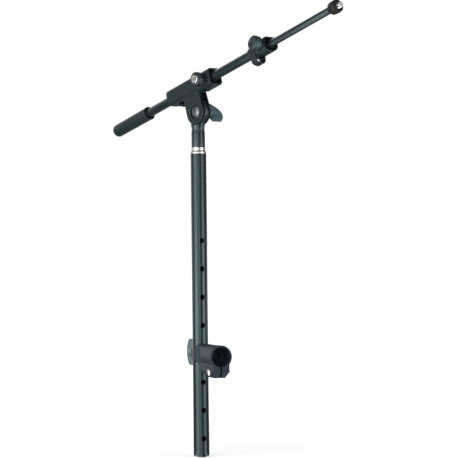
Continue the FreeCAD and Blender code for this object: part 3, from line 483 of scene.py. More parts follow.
class Recipe(Graph):
    """Builds one node material step by step."""

    def __init__(self, name, colour, roughness, metallic=0.0, specular=0.5, tint=(1.0, 1.0, 1.0)):
        self.material = bpy.data.materials.new(name)
        self.material.use_nodes = True
        super().__init__(self.material.node_tree)
        self.shader = self.nodes["Principled BSDF"]
        self.shader.inputs["Base Color"].default_value = (*colour, 1.0)
        self.shader.inputs["Roughness"].default_value = roughness
        self.shader.inputs["Metallic"].default_value = metallic
        self.shader.inputs["Specular IOR Level"].default_value = specular
        self.shader.inputs["Specular Tint"].default_value = (*tint, 1.0)
        self.colour = colour
        self.roughness = roughness
        self.place = self.add("ShaderNodeTexCoord").outputs["Object"]
        self.height = None
        self.paint = None

    def noise(self, scale, detail=3.0, rough=0.5):
        node = self.add("ShaderNodeTexNoise")
        node.inputs["Scale"].default_value = scale
        node.inputs["Detail"].default_value = detail
        node.inputs["Roughness"].default_value = rough
        self.join(self.place, node.inputs["Vector"])
        return node.outputs["Fac"]

    def mottle(self, value, tint, share):
        """Mixes a second colour in where a value is high."""
        mix = self.add("ShaderNodeMix", data_type="RGBA")
        factor = self.ranged(value, 0.0, share)
        self.join(factor, mix.inputs["Factor"])
        if self.paint:
            self.join(self.paint, mix.inputs["A"])
        else:
            mix.inputs["A"].default_value = (*self.colour, 1.0)
        mix.inputs["B"].default_value = (*tint, 1.0)
        self.paint = mix.outputs["Result"]
        self.join(self.paint, self.shader.inputs["Base Color"])

    def vary_gloss(self, value, spread_by):
        low = max(0.02, self.roughness - spread_by)
        self.join(self.ranged(value, low, self.roughness + spread_by), self.shader.inputs["Roughness"])

    def bump(self, value, height):
        """Adds relief of a height in millimetres."""
        node = self.add("ShaderNodeBump")
        node.inputs["Strength"].default_value = 1.0
        node.inputs["Distance"].default_value = height * MM
        self.join(value, node.inputs["Height"])
        if self.height:
            self.join(self.height, node.inputs["Normal"])
        self.height = node.outputs["Normal"]
        self.join(self.height, self.shader.inputs["Normal"])

    def worn_edges(self, tint, share):
        """Lightens the finish along raised edges: partly wear, partly a painted highlight where light catches
        them.
        """
        geometry = self.add("ShaderNodeNewGeometry")
        edge = self.ranged(geometry.outputs["Pointiness"], 0.0, 1.0, 0.52, 0.60)
        patch = self.ranged(self.noise(260.0), 0.2, 1.0)
        self.mottle(self.combined("MULTIPLY", edge, patch), tint, share)


FINISHES = {}


def powder_coat(look):
    """Semi-gloss baked coat on steel tube, with a faint orange peel."""
    made = Recipe("powder_coated_tube", look.tube_colour, look.tube_roughness, tint=look.gloss_tint)
    made.mottle(made.noise(40.0, 4.0), [part * 1.15 for part in look.tube_colour], 1.0)
    made.vary_gloss(made.noise(130.0, 2.0), 0.02)
    made.bump(made.noise(900.0, 1.0), 0.0025)
    made.bump(made.noise(5200.0, 2.0), 0.001)
    return made.material


def die_casting(look, name, colour, tint, gloss):
    """Satin coat on a zinc casting: fine grain, and edges painted lighter, partly as wear and partly as a painted
    highlight.
    """
    made = Recipe(name, colour, look.casting_roughness, specular=gloss, tint=tint)
    made.mottle(made.noise(55.0, 5.0, 0.6), [part * 1.25 for part in colour], 1.0)
    # Paler colour along sharp edges: partly wear, partly a painted highlight for light on the edge chamfers.
    made.worn_edges([part * 2.4 for part in colour], 0.6)
    made.vary_gloss(made.noise(210.0, 3.0), 0.05)
    made.bump(made.noise(420.0, 3.0), 0.015)
    made.bump(made.noise(3600.0, 2.0, 0.7), 0.006)
    return made.material


def moulding(look, name, colour):
    """Fine-textured nylon."""
    made = Recipe(name, colour, look.moulding_roughness, tint=look.gloss_tint)
    made.mottle(made.noise(80.0, 4.0), [part * 1.12 for part in colour], 1.0)
    made.vary_gloss(made.noise(300.0, 2.0), 0.03)
    made.bump(made.noise(2600.0, 3.0, 0.7), 0.003)
    return made.material


def grip_vinyl(look):
    """Dipped vinyl of the grip, softer and duller than the nylon."""
    made = Recipe(
        "grip_vinyl", look.grip_colour, look.grip_roughness, specular=0.36, tint=look.gloss_tint
    )
    made.mottle(made.noise(45.0, 4.0), [part * 1.2 for part in look.grip_colour], 1.0)
    made.vary_gloss(made.noise(90.0, 3.0), 0.06)
    made.bump(made.noise(330.0, 2.0), 0.03)
    made.bump(made.noise(3000.0, 2.0, 0.6), 0.01)
    return made.material


def plated(name, colour, roughness, grain):
    """Bright plated metal with fine machining lines."""
    made = Recipe(name, colour, roughness, metallic=1.0)
    made.vary_gloss(made.noise(240.0, 3.0), roughness * 0.4)
    made.mottle(made.noise(60.0, 3.0), [part * 0.82 for part in colour], 1.0)
    made.bump(made.noise(2200.0, 2.0, 0.6), grain)
    return made.material


def gloss_black(look):
    """Deep black oxide with a low sheen."""
    made = Recipe("black_oxide", look.oxide_colour, 0.34, specular=0.2)
    made.mottle(made.noise(90.0, 3.0), [part * 1.4 for part in look.oxide_colour], 1.0)
    made.vary_gloss(made.noise(400.0, 2.0), 0.05)
    made.bump(made.noise(1800.0, 2.0), 0.002)
    return made.material


def make_finishes(look):
    FINISHES["powder_coated_tube"] = powder_coat(look)
    FINISHES["cast_black"] = die_casting(look, "black_casting", look.casting_colour, look.gloss_tint, 0.36)
    # A lighter copy of the casting coat for the stand clamp: painted light on its faces.
    FINISHES["clamp"] = die_casting(look, "clamp_casting", look.clamp_colour, look.clamp_tint, 0.22)
    # Paler than the clamp's coat: painted light on the socket's floor.
    FINISHES["bolt_head"] = die_casting(look, "painted_bolt", look.bolt_colour, look.clamp_tint, 0.3)
    FINISHES["moulded_black"] = moulding(look, "black_moulding", look.moulding_colour)
    # A paler, bluer copy of the nylon for the wing nuts: a painted sheen of light from above.
    FINISHES["wing_nut"] = moulding(look, "wing_moulding", look.wing_colour)
    FINISHES["grip_rubber"] = grip_vinyl(look)
    FINISHES["nickel"] = plated("bright_nickel", look.nickel_colour, 0.38, 0.001)
    FINISHES["zinc_steel"] = plated("zinc_plate", look.zinc_colour, 0.34, 0.003)
    FINISHES["blackened_steel"] = plated("blackened_steel", look.blackened_colour, 0.42, 0.003)
    # Near-black oxide of the stop nut, also used on the clamps' bushes as painted shade.
    FINISHES["stop_nut"] = gloss_black(look)
    fibre = Recipe("friction_fibre", look.fibre_colour, 0.8)
    fibre.mottle(fibre.noise(1500.0, 5.0, 0.8), [part * 1.8 for part in look.fibre_colour], 1.0)
    fibre.bump(fibre.noise(2400.0, 4.0, 0.7), 0.03)
    FINISHES["friction_fibre"] = fibre.material


# ---------------------------------------------------------------- settings


def swatch(name, description, default):
    return FloatVectorProperty(
        name=name, description=description, default=default, subtype="COLOR", size=3, min=0.0, max=1.0
    )


def metres(name, description, default):
    return FloatProperty(name=name, description=description, default=default, min=0.0, unit="LENGTH")


def degrees(name, description, default):
    return FloatProperty(name=name, description=description, default=math.radians(default), unit="ROTATION")


def number(name, description, default):
    return FloatProperty(name=name, description=description, default=default, min=0.0)


def whole(name, description, default, least=0):
    return IntProperty(name=name, description=description, default=default, min=least)


def in_millimetres(group):
    """A group's settings, with the lengths among them turned into millimetres."""
    values = SimpleNamespace()
    for name in group.__annotations__:
        value = getattr(group, name)
        if group.bl_rna.properties[name].unit == "LENGTH":
            value /= MM
        setattr(values, name, value)
    return values


class BoomArmLook(bpy.types.PropertyGroup):
    """Colours and gloss of the arm's finishes"""

    gloss_tint: swatch("Gloss tint", "Tint of the black finishes' sheen", (0.75, 0.94, 1.0))
    tube_colour: swatch("Tube", "Powder coat on the tubes", (0.012, 0.022, 0.0245))
    tube_roughness: number("Tube roughness", "Dullness of the tubes", 0.24)
    casting_colour: swatch("Casting", "Coat on the castings", (0.0085, 0.0165, 0.0185))
    # Lighter than the castings' coat: painted light on the stand clamp.
    clamp_colour: swatch("Clamp", "Coat on the stand clamp", (0.019, 0.029, 0.039))
    # Paler than the clamp's coat: painted light in the socket.
    bolt_colour: swatch("Bolt head", "Paint on the lock bolt's head", (0.028, 0.037, 0.043))
    clamp_tint: swatch("Clamp tint", "Tint of the stand clamp's sheen", (0.66, 0.84, 1.0))
    casting_roughness: number("Casting roughness", "Dullness of the castings", 0.42)
    moulding_colour: swatch("Moulding", "Nylon of the knobs and caps", (0.012, 0.022, 0.025))
    # Paler and bluer than the knobs' nylon: a painted sheen on the wing nuts.
    wing_colour: swatch("Wing nut", "Nylon of the wing nuts", (0.068, 0.112, 0.142))
    moulding_roughness: number("Moulding roughness", "Dullness of the knobs and wing nuts", 0.36)
    grip_colour: swatch("Grip", "Vinyl of the grip", (0.009, 0.0185, 0.021))
    grip_roughness: number("Grip roughness", "Dullness of the grip", 0.48)
    nickel_colour: swatch("Nickel", "Bright plated parts", (0.66, 0.65, 0.63))
    zinc_colour: swatch("Zinc", "Zinc-plated fasteners", (0.55, 0.56, 0.57))
    blackened_colour: swatch("Blackened", "Blackened steel parts", (0.17, 0.205, 0.22))
    oxide_colour: swatch("Black oxide", "Stop nut", (0.0035, 0.004, 0.0045))
    fibre_colour: swatch("Fibre", "Friction discs", (0.06, 0.055, 0.05))


class BoomArmDetails(bpy.types.PropertyGroup):
    """Sizes of details that the engineering parts leave plain"""

    casting_voxel: metres("Casting skin", "Cell size of a casting's skin", 0.00064)
    casting_softness: whole("Casting softness", "Smoothing passes", 3)
    cheek_relief: metres("Cheek relief", "Depth of the hollow inside a cheek", 0.0034)
    cheek_radius: metres("Cheek radius", "Radius of the cheeks' round feet", 0.0205)
    cheek_lean: metres("Cheek lean", "Inward lean of the cheeks' front edge", 0.003)
    cheek_top: metres("Cheek top", "Height of the hollow between the cheeks", 0.0275)
    collar_size: metres("Collar size", "Inner width of the ring round the pivot's recess", 0.0208)
    collar_width: metres("Collar width", "Width of the ring round the pivot's recess", 0.0017)
    collar_rise: metres("Collar rise", "Height of the ring round the pivot's recess", 0.0007)
    pivot_sunk: metres("Pivot sunk", "Depth of the pivot bolt's recess", 0.0024)
    gap_offset: metres("Gap offset", "Knob's axis to the gap beside it", 0.0085)
    gap_width: metres("Gap width", "Width of the gap beside a knob", 0.003)
    gap_height: metres("Gap height", "Height of the gap beside a knob", 0.018)
    gap_depth: metres("Gap depth", "Depth of the gap beside a knob", 0.0075)
    neck_top: metres("Neck top", "Neck's saddle below the pivot", 0.0185)
    neck_flare: metres("Neck flare", "Radius of the neck's top", 0.012)
    wing_end: metres("Wing end", "Reach of a wing's end from the nut's face", 0.0245)
    wing_rise: metres("Wing rise", "Rise of the fin's back over its ends", 0.0105)
    wing_thick: metres("Wing thickness", "Thickness of the fin", 0.0044)
    wing_hub: metres("Wing hub", "Length of the hub", 0.024)
    wing_nose: metres("Wing nose", "Width of the hub's end", 0.0118)
    pivot_wing_lean: degrees("Wing lean", "Turn of the pivot's wing nut", 32)
    tube_edge: metres("Tube edge", "Rounding of the tubes' ends", 0.00025)
    hole_size: metres("Hole size", "Width of the mast's holes", 0.0084)
    hole_pitch: metres("Hole pitch", "Spacing of the mast's holes", 0.045)
    holes_below: whole("Holes below", "Holes below the clamp's own", 3)
    holes_above: whole("Holes above", "Holes above the clamp's own", 4)
    fit: metres("Fit", "Gap round a piece pressed into another", 0.00005)
    knob_neck: metres("Knob neck", "Radius of a knob's neck", 0.0075)
    knob_lip: metres("Knob lip", "Depth of the hollow in a knob's face", 0.0008)
    knob_flutes: whole("Knob flutes", "Flutes round a knob", 16, 3)
    flute_depth: metres("Flute depth", "Depth of a knob's flutes", 0.00045)
    cap_crown: metres("Cap crown", "Rise of the bright cap", 0.0003)
    bolt_size: metres("Bolt size", "Width of the lock and pivot bolts", 0.008)
    bolt_pitch: metres("Bolt pitch", "Pitch of the knobs' screws", 0.00125)
    bolt_thread: metres("Bolt thread", "Depth of the knobs' screw threads", 0.0004)
    lock_head: metres("Lock bolt head", "Height of the lock bolt's head", 0.0042)
    pivot_head: metres("Pivot head", "Height of the pivot bolt's head", 0.0028)
    pivot_rim: metres("Pivot rim", "Height of the straight rim under the pivot bolt's dome", 0.0008)
    pinch_size: metres("Pinch screw", "Width of the pinch screw", 0.006)
    pinch_head: metres("Pinch head", "Height of the pinch screw's head", 0.004)
    pinch_key: metres("Pinch key", "Width of the pinch screw's hexagon socket", 0.004)
    ring_step: metres("Ring step", "Height of the bright ring's wide part", 0.0027)
    ring_cone: metres("Ring cone", "Height of the bright ring's cone", 0.0021)
    bush_sunk: metres("Bush sunk", "Depth of a clamp's bush behind the cup's rim", 0.0018)
    cap_round: metres("End cap rounding", "Rounding of the end cap's foot", 0.0036)
    grip_end: metres("Grip end", "Width of the grip's closed end", 0.021)
    grip_rim: metres("Grip rim", "Wall of the grip's open rim", 0.0016)
    grip_recess: metres("Grip recess", "Depth of the grip's open rim", 0.006)
    grip_floor: metres("Grip floor", "Thickness of the grip's closed end", 0.003)
    nut_collar: metres("Nut collar", "Length of the stop nut's collar", 0.004)
    nut_flutes: whole("Nut flutes", "Flutes round the stop nut", 24, 3)
    nut_flute_depth: metres("Nut flute depth", "Depth of the stop nut's flutes", 0.0004)
    stud_size: metres("Stud size", "Width of the microphone stud", 0.00952)
    thread_pitch: metres("Thread pitch", "Pitch of the stud's thread", 0.00159)
    thread_depth: metres("Thread depth", "Depth of the stud's thread", 0.00055)


class BoomArmStage(bpy.types.PropertyGroup):
    """Camera, floor and lamps"""

    lens: FloatProperty(name="Lens", description="Focal length in millimetres", default=135.5, min=20.0)
    azimuth: degrees("Azimuth", "Side the camera looks from", -21.5)
    lean: degrees("Lean", "Roll of the camera", 0.62)
    distance: metres("Distance", "Camera to the mast's axis", 2.75)
    aim_height: metres("Aim height", "Height of the picture's centre", 0.1979)
    aim_aside: metres("Aim aside", "Picture's centre to the right of the mast", 0.0476)
    lamp_distance: metres("Lamp distance", "Softboxes to the mast", 1.3)
    lamp_middle: metres("Lamp middle", "Middle of the softboxes above the socket's axis", 0.2)
    lamp_height: metres("Lamp height", "Height of the softboxes", 1.9)
    key_power: number("Key lamp", "Watts of the left softbox", 21.0)
    key_width: metres("Key width", "Width of the left softbox", 1.1)
    key_turn: degrees("Key turn", "Side of the left softbox", 52)
    side_power: number("Side lamp", "Watts of the right softbox", 12.5)
    side_width: metres("Side width", "Width of the right softbox", 0.8)
    side_turn: degrees("Side turn", "Side of the right softbox", 61)
    front_power: number("Front lamp", "Watts of the softbox at the camera", 50.0)
    front_width: metres("Front width", "Width of the softbox at the camera", 2.0)
    front_turn: degrees("Front turn", "Side of the softbox at the camera", 8)
    front_distance: metres("Front distance", "Softbox behind the camera to the mast", 3.3)
    top_power: number("Top lamp", "Watts of the overhead softbox", 2.0)
    top_width: metres("Top width", "Width of the overhead softbox", 0.9)
    top_rise: degrees("Top rise", "Height angle of the overhead softbox", 52)
    fill: number("Fill", "Strength of the room's light", 0.16)
    dim: number("Dim side", "What polished parts see beside the backdrop", 0.06)
    backdrop_turn: degrees("Backdrop turn", "Turn of the backdrop to the left", 30)
    backdrop_half: degrees("Backdrop", "Half the backdrop's spread", 34)
    backdrop_fade: degrees("Backdrop fade", "Soft edge of the backdrop", 14)
    floor_near: number("Floor near", "Floor's own glow at the foot", 0.55)
    floor_reach: metres("Floor reach", "Where the floor turns white", 1.1)


# ---------------------------------------------------------------- pieces


class BOOMARM_OT_parts(bpy.types.Operator):
    """Gives every engineering part its finish"""

    bl_idname = "boomarm.parts"
    bl_label = "Finish engineering parts"

    def execute(self, context):
        make_finishes(context.scene.boomarm_look)
        for node, thing in NODES.items():
            thing.data.materials.clear()
            thing.data.materials.append(FINISHES[SLOT_OF[node]])
        return {"FINISHED"}


class BOOMARM_OT_castings(bpy.types.Operator):
    """Die castings with the soft edges that a mould leaves"""

    bl_idname = "boomarm.castings"
    bl_label = "Castings"

    def execute(self, context):
        details = in_millimetres(context.scene.boomarm_details)
        voxel = details.casting_voxel
        for node, shapes in (
            ("boom_cradle", [self.relieved(copied("boom_cradle"), details), self.collar(details)]),
            ("stand_clamp_body", [copied("stand_clamp_body")]),
            ("tele_clamp_body", [self.slit("tele_clamp_body", TELE_KNOB, details)]),
            ("head_post", [copied("head_post"), self.neck(details)]),
            ("lock_saddle_block", [copied("lock_saddle_block")]),
        ):
            made = cast(node + "_finished", shapes, voxel, details.casting_softness)
            finish(made, node, CAST_SHARP)
        return {"FINISHED"}

    def relieved(self, shape, details):
        """The cradle with its cheeks cast hollow round the bosses that press on the friction discs."""
        made = loose_object("cradle", [shape])
        front, rear = (spread("friction_disc_" + side, BOOM @ DEPTH) for side in ("front", "rear"))
        past = 3.0
        cheek = spread("head_post", BOOM)[1].x + past
        boss = front[1].z
        low = front[0].x - details.cheek_relief
        high = rear[1].x + details.cheek_relief
        skin = 0.4
        rim = [
            placed(pipe(cheek, boss, low, front[0].x + skin, 0.05), BOOM @ DEPTH),
            placed(pipe(cheek, boss, rear[1].x - skin, high, 0.05), BOOM @ DEPTH),
        ]
        wide = details.cheek_radius
        lean = details.cheek_lean
        bottom = 12.0
        top = details.cheek_top
        bay = plate(
            [
                (wide - 5.5, bottom),
                (wide + past, bottom),
                (wide + past, top),
                (wide - lean - 8.0, top, 2.0),
            ],
            low,
            high,
        )
        cut_away(made, rim + [placed(bay, BOOM)])
        cut_away(made, [self.gap(KNOB, details)])
        return taken(made)

    def collar(self, details):
        """A low raised ring round the recess of the pivot bolt's head."""
        place = BOOM @ DEPTH
        face = spread("pivot_bolt", place)[0].x + details.pivot_head - details.pivot_sunk
        inside = details.collar_size / 2
        outside = inside + details.collar_width
        buried = 0.6
        return placed(pipe(outside, inside, face - details.collar_rise, face + buried, 0.3, 72), place)

    def slit(self, node, place, details):
        """A clamp's cup with the gap beside its knob."""
        made = loose_object(node, [copied(node)])
        cut_away(made, [self.gap(place, details)])
        return taken(made)

    def gap(self, place, details):
        """An upright gap through the front wall of a cup, beside the knob's seat."""
        near = details.gap_offset
        wide = details.gap_width
        half = details.gap_height / 2
        deep = details.gap_depth
        return placed(block((near, -1.0, -half), (near + wide, deep, half), 0.6), place)

    def neck(self, details):
        """The post's neck, which widens into a saddle under the cheeks."""
        shank = spread("head_shank", UPRIGHT)[1]
        foot, slim = shank.x, shank.z
        top = PIVOT[2] / MM - details.neck_top
        wide = details.neck_flare
        cone = lathe([(foot, 0), (foot, slim - 1.4), (foot + 5.0, slim - 1.0, 9.0), (top, wide), (top, 0)])
        made = loose_object("neck", [placed(cone, UPRIGHT)])
        clear = 0.55
        saddle = details.cheek_radius + clear
        cut_away(made, [placed(rod(saddle, -2 * saddle, 2 * saddle, steps=96), BOOM @ DEPTH)])
        return taken(made)


class BOOMARM_OT_wing_nuts(bpy.types.Operator):
    """Wing nuts: a round-backed fin through a tapered hub"""

    bl_idname = "boomarm.wing_nuts"
    bl_label = "Wing nuts"

    def execute(self, context):
        details = in_millimetres(context.scene.boomarm_details)
        voxel = details.casting_voxel * 0.6
        turn = Matrix.Rotation(-details.pivot_wing_lean, 4, "Y")
        wall = 4.0
        for node, frame_of_nut in (("lock_wing_nut", ROW), ("pivot_wing_nut", BOOM @ turn)):
            place = frame_of_nut @ DEPTH
            low, high = spread(node, place)
            hole = details.bolt_size / 2 + details.fit
            hole_end = low.x + details.wing_hub - wall
            shell = loose_object("fin", [placed(self.fin(low.x, high.z, details), place)])
            bolt = rod(hole + 0.5, low.x - 2.0, hole_end, steps=48)
            cut_away(shell, [placed(bolt, place)])
            core = self.hub(low.x, high.y, hole, hole_end, details)
            shapes = [taken(shell), placed(core, place)]
            made = cast(node + "_finished", shapes, voxel, details.casting_softness - 1)
            finish(made, node, CAST_SHARP)
        return {"FINISHED"}

    def fin(self, base, half, details):
        """A flat fin that narrows to the nut's face, with a parabola for its back."""
        ends = base + details.wing_end
        rise = details.wing_rise
        parts = [step / 12 - 1 for step in range(25)]
        arc = [(ends + rise * (1 - part**2), part * half) for part in parts]
        shoulder = base + 6.5
        outline = [(base + 2.3, 0.0), (shoulder, -half, 1.0)] + arc + [(shoulder, half, 1.0)]
        thick = details.wing_thick / 2
        return plate(outline, -thick, thick)

    def hub(self, base, radius, hole, hole_end, details):
        """A tapered hub with a blind hole for the bolt."""
        tip = base + details.wing_hub
        corners = [
            (base, hole),
            (base, radius, 0.6),
            (base + 6.0, radius, 1.0),
            (tip, details.wing_nose / 2, 1.2),
            (tip, 0),
            (hole_end, 0),
            (hole_end, hole),
        ]
        return lathe(corners, 72, True)


class BOOMARM_OT_tubes(bpy.types.Operator):
    """Mast with its holes, shank and the two boom tubes"""

    bl_idname = "boomarm.tubes"
    bl_label = "Tubes"

    def execute(self, context):
        details = in_millimetres(context.scene.boomarm_details)
        for node, place in (
            ("head_shank", UPRIGHT),
            ("boom_tube_outer", BOOM_LINE),
            ("boom_tube_inner", BOOM_LINE),
            ("mast_tube", UPRIGHT),
        ):
            low, high = spread(node, place)
            shape = placed(pipe(high.y, bore(node, place), low.x, high.x, details.tube_edge), place)
            made = loose_object(node + "_finished", [shape])
            if node == "mast_tube":
                cut_away(made, self.holes(details, low.x, high.y))
            finish(made, node)
        return {"FINISHED"}

    def holes(self, details, foot, radius):
        """A row of through holes on both sides of the clamp's height."""
        made = []
        for step in range(-details.holes_below, details.holes_above + 1):
            place = MAST @ shift(z=details.hole_pitch * step) @ DEPTH
            made.append(placed(rod(details.hole_size / 2, -2 * radius, 2 * radius, steps=40), place))
        return made


class BOOMARM_OT_knobs(bpy.types.Operator):
    """Clamping knobs with shallow flutes, their screws and the bright cap"""

    bl_idname = "boomarm.knobs"
    bl_label = "Knobs"

    def execute(self, context):
        details = in_millimetres(context.scene.boomarm_details)
        for node, place, capped in (("boom_knob", KNOB, True), ("tele_knob", TELE_KNOB, False)):
            out = place @ INWARD
            low, high = spread(node, out)
            stand_in(node, [placed(self.knob(low.x, high.x, high.z, capped, details), out)])
            screw = node + "_screw"
            low, high = spread(screw, out)
            stand_in(screw, [placed(self.thread(low.x, high.x, high.z, details), out)])
        out = KNOB @ INWARD
        low, high = spread("boom_knob_cap", out)
        stand_in("boom_knob_cap", [placed(self.cap(low.x, high.x, high.z, details), out)])
        return {"FINISHED"}

    def knob(self, start, end, radius, capped, details):
        """A fluted knob on a neck, with a seat for the cap or a shallow hollow in its face."""
        neck = details.knob_neck
        lip = details.knob_lip
        if capped:
            seat = spread("boom_knob_cap", KNOB @ INWARD)[1].z + details.fit
            top = [(end, seat, 0.1), (end - lip, seat), (end - lip, 0)]
        else:
            top = [(end, radius * 0.62, 0.8), (end - lip, radius * 0.45, 1.2), (end - lip, 0)]
        corners = [
            (start, 0),
            (start, neck, 0.3),
            (start + 2.6, neck, 0.4),
            (start + 3.4, radius - 0.4, 0.3),
            (start + 3.9, radius, 0.3),
            (end - 3.0, radius),
            (end - 1.6, radius - 0.1, 1.0),
            (end, radius - 2.2, 0.8),
        ]
        return fluted(
            lathe(corners + top, details.knob_flutes * 12),
            details.knob_flutes,
            details.flute_depth,
            start + 3.6,
            end + 4.0,
            sharp=3.0,
            least=radius - 2.6,
        )

    def cap(self, start, end, radius, details):
        """A bright disc with a slightly crowned face."""
        crown = details.cap_crown
        face = [(end - (along - end), out) for along, out in dome(end, radius - 0.5, crown)]
        return lathe([(start, 0), (start, radius, 0.1), (end - crown - 0.35, radius, 0.2)] + face[::-1])

    def thread(self, start, end, radius, details):
        """A rolled thread as a lathed row of ridges."""
        pitch = details.bolt_pitch
        depth = details.bolt_thread
        corners = [(start, 0), (start, radius - depth)]
        along = start
        while along + pitch < end:
            corners += [(along + pitch / 2, radius), (along + pitch, radius - depth)]
            along += pitch
        return lathe(corners + [(end, radius - depth), (end, 0)], 48)


class BOOMARM_OT_fasteners(bpy.types.Operator):
    """Bolts, the pinch screw with its nut, and washers"""

    bl_idname = "boomarm.fasteners"
    bl_label = "Fasteners"

    def execute(self, context):
        details = in_millimetres(context.scene.boomarm_details)
        self.bolt("lock_bolt", DEPTH, details.lock_head, 0.0, details)
        self.bolt("pivot_bolt", BOOM @ DEPTH, details.pivot_head, details.pivot_rim, details)
        self.pinch_screw("clamp_pinch_screw", details)
        self.pinch_nut("clamp_pinch_nut", details)
        for node, place in (("lock_washer", DEPTH), ("pivot_washer", BOOM @ DEPTH)):
            ring(node, place, 0.25, 64)
        return {"FINISHED"}

    def bolt(self, node, place, head, rim, details):
        """A round-headed bolt along the local X axis, with a square neck where its head has no rim."""
        low, high = spread(node, place)
        shank = details.bolt_size / 2
        seat = low.x + head
        corners = dome(low.x, high.z, head - rim)
        corners += [(seat, high.z), (seat, shank), (high.x, shank, 0.6), (high.x, 0)]
        shapes = [placed(lathe(corners, 72), place)]
        if not rim:
            square = block((seat - 0.5, -shank, -shank), (seat + shank, shank, shank), 0.2)
            shapes.append(placed(square, place))
        stand_in(node, shapes)

    def pinch_screw(self, node, details):
        """A cylinder-headed screw with a hexagon socket, along the row."""
        low, high = spread(node, ROW)
        place = shift(y=(low.y + high.y) / 2, z=(low.z + high.z) / 2)
        radius = (high.y - low.y) / 2
        shank = details.pinch_size / 2
        head = low.x + details.pinch_head
        crown = dome(low.x, radius - 0.4, details.pinch_head * 0.55)
        crown = [(along, out) for along, out in crown if out > radius * 0.5]
        corners = [(low.x + 0.05, 0)] + crown + [
            (head - 0.9, radius, 0.3),
            (head, radius, 0.15),
            (head, shank),
            (high.x, shank, 0.6),
            (high.x, 0),
        ]
        made = loose_object(node + "_finished", [placed(lathe(corners, 72), place)])
        deep = 2.4
        socket = plate(hexagon(details.pinch_key / 2 / HEXAGON_FLAT), -deep, deep)
        cut_away(made, [placed(socket, place @ shift(x=low.x) @ DEPTH)])
        finish(made, node)

    def pinch_nut(self, node, details):
        """The hexagon nut of the pinch screw."""
        low, high = spread(node, ROW)
        radius = (high.y - low.y) / 2
        hole = details.pinch_size / 2 / HEXAGON_FLAT
        nut = lathe(
            [
                (low.x, hole),
                (low.x, radius * 0.92),
                (low.x + 0.5, radius),
                (high.x - 0.5, radius),
                (high.x, radius * 0.92),
                (high.x, hole),
            ],
            6,
            True,
        )
        screw_low, screw_high = spread("clamp_pinch_screw", ROW)
        middle = (screw_low + screw_high) / 2
        turn = Matrix.Rotation(math.pi / 2, 4, "X")
        stand_in(node, [placed(nut, shift(y=middle.y, z=middle.z) @ turn)], sharp=20.0)


class BOOMARM_OT_turnings(bpy.types.Operator):
    """Bright ring, end cap, bushes and friction discs"""

    bl_idname = "boomarm.turnings"
    bl_label = "Rings and caps"

    def execute(self, context):
        details = in_millimetres(context.scene.boomarm_details)
        node = "mast_top_ring"
        low, high = spread(node, UPRIGHT)
        shank = spread("head_shank", UPRIGHT)[1].z
        step = details.ring_step
        cone = details.ring_cone
        outline = [
            (low.x, bore(node, UPRIGHT) + 2.0),
            (low.x, high.z, 0.35),
            (low.x + step, high.z, 0.5),
            (low.x + step + cone, shank, 0.4),
            (high.x, shank, 0.25),
            (high.x, bore(node, UPRIGHT)),
            (low.x + step, bore(node, UPRIGHT)),
        ]
        stand_in(node, [placed(lathe(outline, closed=True), UPRIGHT)])
        node = "mast_end_cap"
        low, high = spread(node, UPRIGHT)
        tube = spread("mast_tube", UPRIGHT)[0].x
        inside = bore("mast_tube", UPRIGHT) - details.fit
        cap = [
            (low.x, 0),
            (low.x, high.z, details.cap_round),
            (tube - 1.2, high.z, 0.3),
            (tube - 0.6, high.z - 0.35, 0.2),
            (tube, high.z - 0.3, 0.2),
            (tube, inside),
            (high.x, inside, 0.5),
            (high.x, inside - 2.0),
            (low.x + 4.0, inside - 2.0),
            (low.x + 4.0, 0),
        ]
        stand_in(node, [placed(lathe(cap), UPRIGHT)])
        for node in ("friction_disc_front", "friction_disc_rear"):
            low, high = spread(node, BOOM @ DEPTH)
            ring(node, BOOM @ DEPTH, (high.x - low.x) / 4)
        for node, cup in (("boom_clamp_bush", "boom_cradle"), ("tele_clamp_bush", "tele_clamp_body")):
            front = spread(cup, BOOM_LINE)[1].x - details.bush_sunk
            ring(node, BOOM_LINE, 0.3, end=front)
        return {"FINISHED"}


class BOOMARM_OT_grip(bpy.types.Operator):
    """Dipped grip on the boom's rear end, with an open rim in front"""

    bl_idname = "boomarm.grip"
    bl_label = "Grip"

    def execute(self, context):
        details = in_millimetres(context.scene.boomarm_details)
        node = "rear_grip"
        low, high = spread(node, BOOM_LINE)
        mouth = high.z - details.fit * 2
        end = details.grip_end / 2 - details.fit * 2
        tube = spread("boom_tube_outer", BOOM_LINE)[1].z + details.fit
        rim = details.grip_rim
        deep = details.grip_recess
        length = high.x - low.x
        corners = [
            (low.x, 0),
            (low.x + 0.15, end * 0.45, 3.0),
            (low.x + 0.5, end, 4.6),
            (low.x + length * 0.3, end + 0.15),
            (low.x + length * 0.6, end + 0.35),
            (high.x - 3.2, mouth - 0.25, 0.6),
            (high.x - 2.4, mouth, 0.5),
            (high.x, mouth, 0.7),
            (high.x, mouth - rim, 0.6),
            (high.x - deep, mouth - rim - 0.4, 0.8),
            (high.x - deep, tube),
            (low.x + details.grip_floor, tube),
            (low.x + details.grip_floor, 0),
        ]
        stand_in(node, [placed(lathe(corners, 96), BOOM_LINE)])
        return {"FINISHED"}


